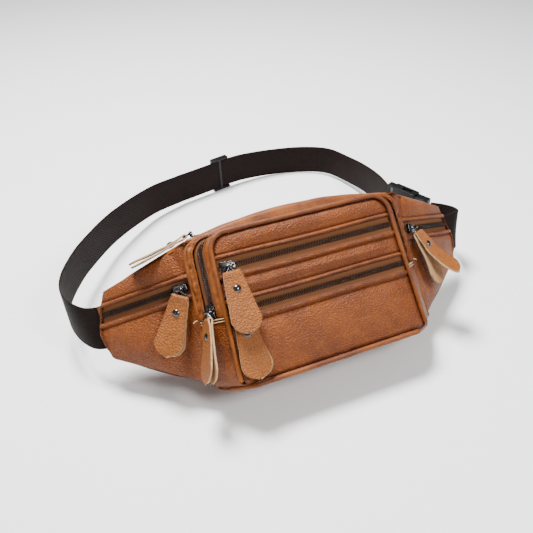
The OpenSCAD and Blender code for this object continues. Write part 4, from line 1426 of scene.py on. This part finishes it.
class WAISTPACK_OT_stitching(bpy.types.Operator):
    """Sews the rows of stitches along the zips."""
    bl_idname = "waistpack.stitching"
    bl_label = "Stitching"

    def execute(self, context):
        z = context.scene.waistpack_sizes
        rows, out = [], zip_out("upper_front")
        half = SLOT_W / 2
        made = strips(z)
        for node, d, low in (("front_strip_top", 4.3, True), ("front_strip_middle", 4.3, True),
                             ("front_strip_middle", 4.9, False), ("front_strip_bottom", 4.9, False)):
            place, _, span = made[node]
            v = d / span if low else 1 - d / span
            path = [place(mix(0.02, 0.98, k / 120), v) for k in range(121)]
            rows += stitch_row(path, out, z.stitch)
        repeat("front_stitches", bead(STITCH), rows, "Tan thread")
        rows = []
        for side in (-1, 1):
            n = wing_out(side)
            for upper in (True, False):
                place = wing_panel(side, upper)
                path = []
                for k in range(61):
                    u = mix(0.03, 0.97, k / 60)
                    x = mix(SEAM_TOP, WING_X - 8, u)
                    tall = (top_z(x) - wing_zip_z(x) - half) if upper else (wing_zip_z(x) - half - low_z(x))
                    path.append(place(u, 4.5 / tall if upper else 1 - 4.5 / tall))
                rows += stitch_row(path, n, z.stitch)
        repeat("wing_stitches", bead(STITCH), rows, "Tan thread")
        rows = []
        for part, v in (("front", 0.9), ("rear", 0.16)):
            place = top_profile(part)
            path = [place(mix(0.27, 0.73, k / 90), v) for k in range(91)]
            rows += stitch_row(path, UP, z.stitch)
        wall = Wall(True, GUSSET_END)
        for s in (0.21, 0.71):
            path = [wall.at(k / 160, s, 1.25) for k in range(161)]
            rows += stitch_row(path, [pack_dir(*wall.normal(k / 160)) for k in range(161)], z.stitch)
        repeat("gusset_stitches", bead(STITCH), rows, "Tan thread")
        return {"FINISHED"}


class WAISTPACK_OT_belt(bpy.types.Operator):
    """Weaves the long strap, its doubled layer and the short strap."""
    bl_idname = "waistpack.belt"
    bl_label = "Belt"

    def execute(self, context):
        last = len(BELT_LONG) - 1
        for node, points, t0, t1, w, face, turn, n in (
                ("belt_long", BELT_LONG, 0, last, BELT_W, BELT_T / 2, 3.5, 260),
                ("belt_loop_layer", BELT_LONG, LOOP_AT, last, BELT_W - 1, BELT_T * 1.5 + 0.3, 3.5, 130),
                ("belt_short", BELT_SHORT, 0, len(BELT_SHORT) - 1, BELT_W, BELT_T / 2, 2.5, 70)):
            place, out = strap(points, t0, t1, w, face, turn)
            obj = panel("strap_" + node, [(place, n, 16)], ["Webbing"], None, BELT_T, 0.5, seam=2.0)
            mid = obj.data.polygons[len(obj.data.polygons) // 2]
            if mid.normal.dot(out) < 0:
                obj.data.flip_normals()
            given(obj, node)
        return {"FINISHED"}


def soften(node, name, bevel, body):
    """A CAD piece with its edges rounded as moulded plastic has them."""
    bm = bmesh.new()
    bm.from_mesh(frame["nodes"][node].data)
    bmesh.ops.remove_doubles(bm, verts=bm.verts, dist=1e-6)
    bmesh.ops.dissolve_limit(bm, angle_limit=math.radians(1), verts=bm.verts, edges=bm.edges)
    sharp = [e for e in bm.edges if len(e.link_faces) == 2 and e.calc_face_angle(0) > math.radians(40)]
    bmesh.ops.bevel(bm, geom=sharp, offset=bevel * MM, segments=3, affect="EDGES", profile=0.5, material=-1,
                    clamp_overlap=True)
    bmesh.ops.recalc_face_normals(bm, faces=bm.faces)
    given(finish_mesh(name, bm, ["Black plastic"], body, angle=35), node)


class WAISTPACK_OT_hardware(bpy.types.Operator):
    """Moulds the tri-glide and the side-release buckle."""
    bl_idname = "waistpack.hardware"
    bl_label = "Buckle and tri-glide"

    def execute(self, context):
        for node, name, bevel, body in (("tri_glide", "tri_glide_frame", 0.8, "tri_glide"),
                                        ("buckle_socket", "buckle_socket_shell", 1.3, BODY),
                                        ("buckle_plug", "buckle_plug_body", 1.2, BODY),
                                        ("buckle_arm_upper", "buckle_arm_top", 0.9, "arm_upper"),
                                        ("buckle_arm_lower", "buckle_arm_bottom", 0.9, "arm_lower")):
            soften(node, name, bevel, body)
        return {"FINISHED"}


def area_light(name, place, target, size, power):
    data = bpy.data.lights.new(name, "AREA")
    data.shape = "DISK"
    data.size = size
    data.energy = power
    obj = bpy.data.objects.new(name, data)
    obj.location = place
    obj.rotation_euler = (Vector(target) - Vector(place)).to_track_quat("-Z", "Y").to_euler()
    bpy.context.scene.collection.objects.link(obj)


class WAISTPACK_OT_stage(bpy.types.Operator):
    """Lays the pale floor, sets the soft lights and places the camera."""
    bl_idname = "waistpack.stage"
    bl_label = "Stage"

    def execute(self, context):
        bm = bmesh.new()
        bmesh.ops.create_circle(bm, cap_ends=True, segments=96, radius=6.0,
                                matrix=Matrix.Translation((0, 0, -0.0004)))
        mesh = bpy.data.meshes.new("studio_floor")
        bm.to_mesh(mesh)
        bm.free()
        floor = bpy.data.objects.new("studio_floor", mesh)
        context.scene.collection.objects.link(floor)
        plain("Studio floor", (0.88, 0.88, 0.88), (0.86, 0.86, 0.86), 0.6, 0.02, spread=0.05, scale=60.0,
              gloss=0.2)
        mesh.materials.append(bpy.data.materials["Studio floor"])
        world = bpy.data.worlds.new("Studio")
        world.use_nodes = True
        sky = world.node_tree.nodes["Background"]
        sky.inputs["Color"].default_value = (1.0, 1.0, 1.0, 1)
        sky.inputs["Strength"].default_value = 0.24
        context.scene.world = world
        for name, place, target, size, power in (
                ("Key", (-0.15, 0.40, 1.40), (0, -0.05, 0.06), 0.5, 72),
                ("Front sheen", (0.42, -0.95, 0.98), (0, -0.1, 0.09), 0.4, 15),
                ("Side fill", (-1.2, -0.7, 0.75), (0, -0.05, 0.06), 0.6, 1.5)):
            area_light(name, place, target, size, power)
        az, el = math.radians(VIEW_AZIMUTH), math.radians(VIEW_ELEVATION)
        aim = pack_point(*VIEW_AIM)
        back = Vector((math.sin(az) * math.cos(el), -math.cos(az) * math.cos(el), math.sin(el)))
        data = bpy.data.cameras.new("Camera")
        data.sensor_width = SENSOR
        data.lens = LENS
        data.shift_x, data.shift_y = SHIFT
        data.clip_start, data.clip_end = 0.01, 50
        camera = bpy.data.objects.new("Camera", data)
        camera.location = aim + back * VIEW_DISTANCE
        camera.rotation_euler = (-back).to_track_quat("-Z", "Y").to_euler()
        context.scene.collection.objects.link(camera)
        context.scene.camera = camera
        return {"FINISHED"}


STEPS = (
    WAISTPACK_OT_finishes, WAISTPACK_OT_back_pad, WAISTPACK_OT_rims, WAISTPACK_OT_wings,
    WAISTPACK_OT_front_panel, WAISTPACK_OT_gusset, WAISTPACK_OT_piping, WAISTPACK_OT_zips,
    WAISTPACK_OT_sliders, WAISTPACK_OT_pulls, WAISTPACK_OT_stitching, WAISTPACK_OT_belt,
    WAISTPACK_OT_hardware, WAISTPACK_OT_stage,
)


class WAISTPACK_PT_panel(bpy.types.Panel):
    """Lists the pack's settings and its steps."""
    bl_idname = "WAISTPACK_PT_panel"
    bl_label = "Waist Pack"
    bl_space_type = "VIEW_3D"
    bl_region_type = "UI"
    bl_category = "Waist Pack"

    def draw(self, context):
        for group in (context.scene.waistpack_sizes, context.scene.waistpack_colours):
            for key in group.bl_rna.properties.keys():
                if key not in ("rna_type", "name"):
                    self.layout.prop(group, key)
        for step in STEPS:
            self.layout.operator(step.bl_idname)


CLASSES = (WaistPackColours, WaistPackSizes, *STEPS, WAISTPACK_PT_panel)


def register():
    for c in CLASSES:
        bpy.utils.register_class(c)
    bpy.types.Scene.waistpack_colours = bpy.props.PointerProperty(type=WaistPackColours)
    bpy.types.Scene.waistpack_sizes = bpy.props.PointerProperty(type=WaistPackSizes)


def unregister():
    del bpy.types.Scene.waistpack_colours
    del bpy.types.Scene.waistpack_sizes
    for c in reversed(CLASSES):
        bpy.utils.unregister_class(c)


def main():
    register()
    bpy.ops.waistpack.finishes()
    bpy.ops.waistpack.back_pad()
    bpy.ops.waistpack.rims()
    bpy.ops.waistpack.wings()
    bpy.ops.waistpack.front_panel()
    bpy.ops.waistpack.gusset()
    bpy.ops.waistpack.piping()
    bpy.ops.waistpack.zips()
    bpy.ops.waistpack.sliders()
    bpy.ops.waistpack.pulls()
    bpy.ops.waistpack.stitching()
    bpy.ops.waistpack.belt()
    bpy.ops.waistpack.hardware()
    bpy.ops.waistpack.stage()


if __name__ == "__main__":
    main()
